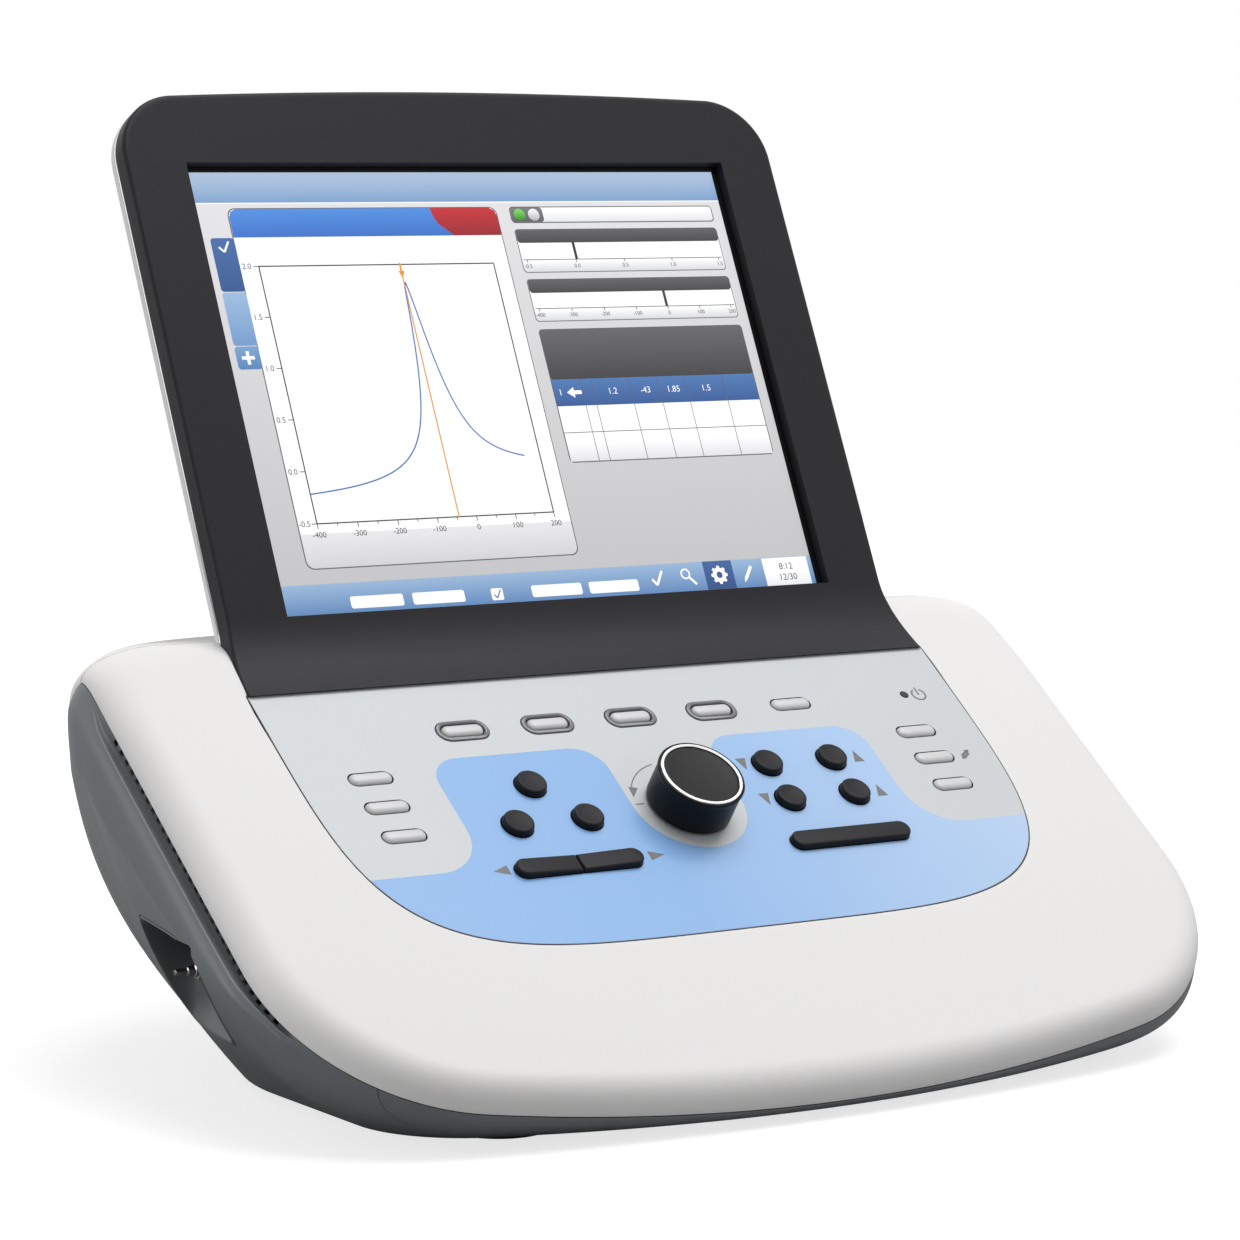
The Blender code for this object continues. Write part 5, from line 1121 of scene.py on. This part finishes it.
show("plot_marker", 5, ((232, 152, 52),), bar_sign((peak, plot_low), (peak, 122), 0.5),
     [(-36.7, 121.6), (-34.3, 121.6), (peak, 118.6)], bar_sign((peak, 121.4), (peak, 124.6), 0.8))
curve_line = []
for step in range(121):
    pressure = plot_left + 85.8 * step / 120
    offset = pressure - peak
    height = 37 + 82 / (1 - offset / 3.5) if offset < 0 else 48 + 71 / (1 + (offset / 5.8) ** 1.6)
    curve_line.append((pressure, min(118.4, height)))
show("plot_curve", 5, ((62, 112, 190),), *stroke(curve_line, 0.5))

for name, tab_low, tab_high, low_colour, high_colour in (
        ("now", 115, 134.5, (42, 82, 140), (62, 104, 166)),
        ("next", 95.5, 114.7, (112, 152, 200), (152, 184, 220)),
        ("add", 87, 95.2, (84, 128, 184), (120, 160, 206))):
    shade = (low_colour, high_colour, tab_low, tab_high)
    show("side_tab_" + name, 2, shade, tile(-106, tab_low, -97, tab_high, 1.2))
show("side_signs", 3, lit_white, *stroke([(-103.4, 131.2), (-101.6, 129.4), (-99.4, 133.2)], 0.7),
     bar_sign((-104, 91.1), (-99.2, 91.1), 1.2), bar_sign((-101.6, 88.7), (-101.6, 93.5), 1.2))



def strip(low, high, radius=1.2, right=98.5):
    """A field in the column at the right of the plot."""
    return tile(14, low, right, high, radius)


full = (255, 255, 255)
show("status_edge", 1, lit_line, tile(13.6, 139.1, 98.9, 145.4, 1.5))
show("status_bar", 2, ((226, 227, 230), full, 139.5, 145), strip(139.5, 145))
show("status_lamps_dark", 3, ((88, 88, 92), (120, 120, 124), 139.5, 145), strip(139.5, 145, right=27))
for name, x, low_colour, high_colour in (("green", 17.3, (30, 130, 24), (120, 220, 90)),
                                         ("white", 23.2, (176, 176, 180), (246, 246, 248))):
    show("status_lamp_" + name, 4, (low_colour, high_colour, 140, 144.5), arc((x, 142.2), 2.3, 0, 345, 23))

for name, head_low, head_high, body_low, mark, labels in (
        ("gauge_one", 131.5, 136.5, 120.5, 36.5, ("-0.5", "0.0", "0.5", "1.0", "1.5")),
        ("gauge_two", 112.5, 117.5, 102, 69.3, decapascals)):
    show(name + "_edge", 1, lit_line, tile(13.7, body_low - 0.3, 98.8, head_high + 0.3, 1.4))
    show(name + "_body", 2, ((214, 215, 218), full, body_low, body_low + 5), strip(body_low, head_high))
    show(name + "_head", 3, ((60, 60, 63), (92, 92, 96), head_low, head_high), strip(head_low, head_high))
    scale_up = body_low + 4.6
    spots = [16 + 80.5 * index / (len(labels) - 1) for index in range(len(labels))]
    show(name + "_scale", 4, lit_ink, bar_sign((14.5, scale_up), (98, scale_up), 0.25),
         *[bar_sign((spot, scale_up), (spot, scale_up - 1.1), 0.25) for spot in spots],
         bar_sign((mark, scale_up), (mark, head_low), 1.1))
    values = [(text, spot, scale_up - 2.5) for text, spot in zip(labels, spots)]
    numbers(name + "_numbers", 4, 2.1, lit_ink, values)

show("table_edge", 1, lit_line, tile(13.6, 49.1, 98.9, 98.9, 1.5))
show("table_rows", 2, ((222, 222, 226), full, 49, 58), strip(60.3, 70, 0), strip(49.5, 60, 0))
show("table_head", 2, ((58, 57, 60), (96, 96, 99), 80, 98.5), strip(80, 98.5))
show("table_pick", 2, ((44, 86, 150), (74, 118, 178), 70, 80), strip(70, 80, 0))
columns = (25.5, 30, 45.5, 57.5, 69, 85)
show("table_lines", 3, lit_line, *[bar_sign((x, 49.5), (x, 80), 0.25) for x in columns])
readings = (("1", 16.4), ("1.2", 37.8), ("-43", 51.5), ("1.85", 63.2), ("1.5", 77))
numbers("table_numbers", 4, 3.3, lit_white, [(text, x, row_mid) for text, x in readings])
arrow = [(19, 75), (22, 77), (22, 75.7), (25, 75.7), (25, 74.3), (22, 74.3), (22, 73)]
show("table_arrow", 4, lit_white, arrow)

show("tool_bar", 1, ((92, 134, 186), (150, 180, 214), 0.2, 10.5), tile(left, low, right, bar_high))
show("tool_gear_tile", 2, ((36, 74, 130), (54, 96, 156), 0.2, 10.5), tile(57, low, 69, bar_high))
cells = [tile(start, 1.4, end, 5.6, 0.8) for start, end in ((-84, -64), (-60.4, -40.4), (-14, 6), (9, 29))]
show("tool_cells", 2, lit_white, *cells, tile(-30, 1.2, -25.4, 5.4, 0.6))
show("tool_clock", 2, ((232, 234, 238), full, 0.2, 6), tile(82, low, 101, 10.3))
numbers("clock_numbers", 3, 3.4, lit_ink, [("8:12", 91.5, 7), ("12/30", 91.5, 3)])
show("cell_signs", 3, ((52, 98, 160),), *stroke([(-29, 3.2), (-27.9, 2), (-26.2, 4.8)], 0.45))
gear_centre = (63, 5.3)
gear = []
for index in range(16):
    reach = 3.4 if index % 2 == 0 else 2.7
    for side in (-0.14, 0.14):
        turn = math.radians(22.5 * index) + side
        gear.append((gear_centre[0] + reach * math.cos(turn), gear_centre[1] + reach * math.sin(turn)))
show("tool_signs", 3, lit_white, *stroke([(35, 5.2), (36.6, 3), (39.6, 8)], 0.9),
     *stroke(arc((49, 6.4), 1.7, 0, 360, 20), 0.6), bar_sign((50.3, 5.1), (52.8, 2.4), 0.9), gear,
     bar_sign((73.6, 3.2), (76.8, 7.8), 1.2), [(73.2, 3.6), (74, 2.9), (72.9, 2)])
show("gear_bore", 4, ((44, 84, 142),), arc(gear_centre, 1.2, 0, 345, 23))

# Metal and boards inside
# The bracket, tray, pump and power supply are folded and pressed zinc-plated steel. The boards are
# varnished green laminate, and the tube from the nipple to the pump is black silicone.
zinc = moulded("zinc_plate", (0.55, 0.56, 0.57), 0.34, grain=300, relief=0.1, drift=0.08, metallic=1)
dress(zinc, "display_bracket", "chassis_tray", "air_pump", "power_supply", "encoder", "knob_shaft")
dress(moulded("green_laminate", (0.03, 0.17, 0.075), 0.3, relief=0.1, drift=0.1), "main_board", "key_board")
dress(moulded("silicone", (0.03, 0.03, 0.032), 0.5), "air_tube")

# Rear connectors
# A recess in the hull's rear holds the mains inlet with its rocker switch, a block of data sockets
# and a round jack, each screwed or clipped from inside.
connector_black = moulded("connector_black", (0.03, 0.03, 0.032), 0.42, relief=0.2)
rocker_black = moulded("rocker_black", (0.018, 0.018, 0.019), 0.25, relief=0.05)
socket_metal = moulded("socket_metal", (0.6, 0.6, 0.6), 0.28, grain=500, relief=0.1, metallic=1)
dress(hull_grey, "connector_bay")
dress(connector_black, "power_inlet", "round_jack")
dress(rocker_black, "power_switch")
dress(socket_metal, "data_sockets")

# Feet
# Four round rubber feet are glued under the hull.
foot_rubber = moulded("foot_rubber", (0.025, 0.025, 0.027), 0.6, grain=900, relief=0.4)
foot_profile = [(0, 0), (14.8, 0), (15.5, 0.15), (16.1, 0.6), (16.4, 1.4), (16.5, 2.7), (0, 2.7)]
for row, x, y in (("front", 100.1, -88.3), ("rear", 78.1, 48)):
    for name, side in (("left", -1), ("right", 1)):
        foot = placed(turned_form(foot_profile, steps=64), Matrix.Translation((side * x * mm, y * mm, 0)))
        add_piece(f"{row}_{name}_pad", foot, foot_rubber, [f"foot_{row}_{name}"])

# Floor, light and camera
# A white table in a white room, lit by large soft panels, seen from the front left with a long lens.
white = (1, 1, 1, 1)
white_ground, tree, shader, place = new_material("white_ground")
feed(shader, {"Base Color": (0.45, 0.45, 0.45, 1), "Roughness": 0.9, "Specular IOR Level": 0.1})
reach = tree.nodes.new("ShaderNodeVectorMath")
reach.operation = "LENGTH"
feed(reach, {0: place})
brighter = {"From Min": 0.3, "From Max": 0.7, "To Min": 0.74, "To Max": 1, "Value": reach.outputs["Value"]}
lift = add_node(tree, "Emission", {"Strength": add_node(tree, "MapRange", brighter, "Result")}, "Emission")
plain_floor = shader.outputs["BSDF"]
raised_floor = add_node(tree, "AddShader", {0: plain_floor, 1: lift}, "Shader")
seen = add_node(tree, "LightPath", {}, "Is Camera Ray")
floor_look = add_node(tree, "MixShader", {0: seen, 1: plain_floor, 2: raised_floor}, "Shader")
feed(tree.nodes["Material Output"], {"Surface": floor_look})
table = bmesh.new()
bmesh.ops.create_circle(table, cap_ends=True, segments=64, radius=2.2)
table_top = add_object("table_top", to_mesh("table_top", table))
table_top.data.materials.append(white_ground)

world = bpy.data.worlds.new("room")
bpy.context.scene.world = world
world.use_nodes = True
tree = world.node_tree
soft_room = tree.nodes["Background"]
feed(soft_room, {"Color": white, "Strength": 0.3})
white_room = add_node(tree, "Background", {"Color": white, "Strength": 1}, "Background")
rays = tree.nodes.new("ShaderNodeLightPath").outputs
seen = rays["Is Camera Ray"]
for kind in ("Is Transmission Ray", "Is Glossy Ray"):
    either = tree.nodes.new("ShaderNodeMath")
    either.operation = "MAXIMUM"
    feed(either, {0: seen, 1: rays[kind]})
    seen = either.outputs["Value"]
choice = {0: seen, 1: soft_room.outputs["Background"], 2: white_room}
feed(tree.nodes["World Output"], {"Surface": add_node(tree, "MixShader", choice, "Shader")})


def add_panel(name, place, aim, width, height, power):
    """A large soft light panel that faces a point."""
    data = bpy.data.lights.new(name, "AREA")
    data.shape = "RECTANGLE"
    data.size = width
    data.size_y = height
    data.energy = power
    panel = add_object(name, data)
    panel.location = place
    panel.rotation_euler = (Vector(aim) - Vector(place)).to_track_quat("-Z", "Y").to_euler()


middle = (0, 0, 0.12)
add_panel("overhead", (0.3, -0.3, 1.9), middle, 1.6, 1.4, 31)
add_panel("left_rear", (-1.7, 0.6, 0.4), middle, 0.8, 0.7, 8)
add_panel("right_front", (1.5, -1.4, 1.1), middle, 1.2, 1.2, 3)

camera_data = bpy.data.cameras.new("camera")
camera_data.lens = 126.3
camera_data.sensor_width = 36
camera_data.sensor_fit = "HORIZONTAL"
camera_data.clip_end = 20
camera = add_object("camera", camera_data)
camera.location = (-780.27 * mm, -1206.71 * mm, 292.6 * mm)
camera.rotation_euler = (math.radians(90 - 5.94), 0, math.radians(-32.92))
bpy.context.scene.camera = camera
bpy.context.scene.view_settings.view_transform = "Standard"
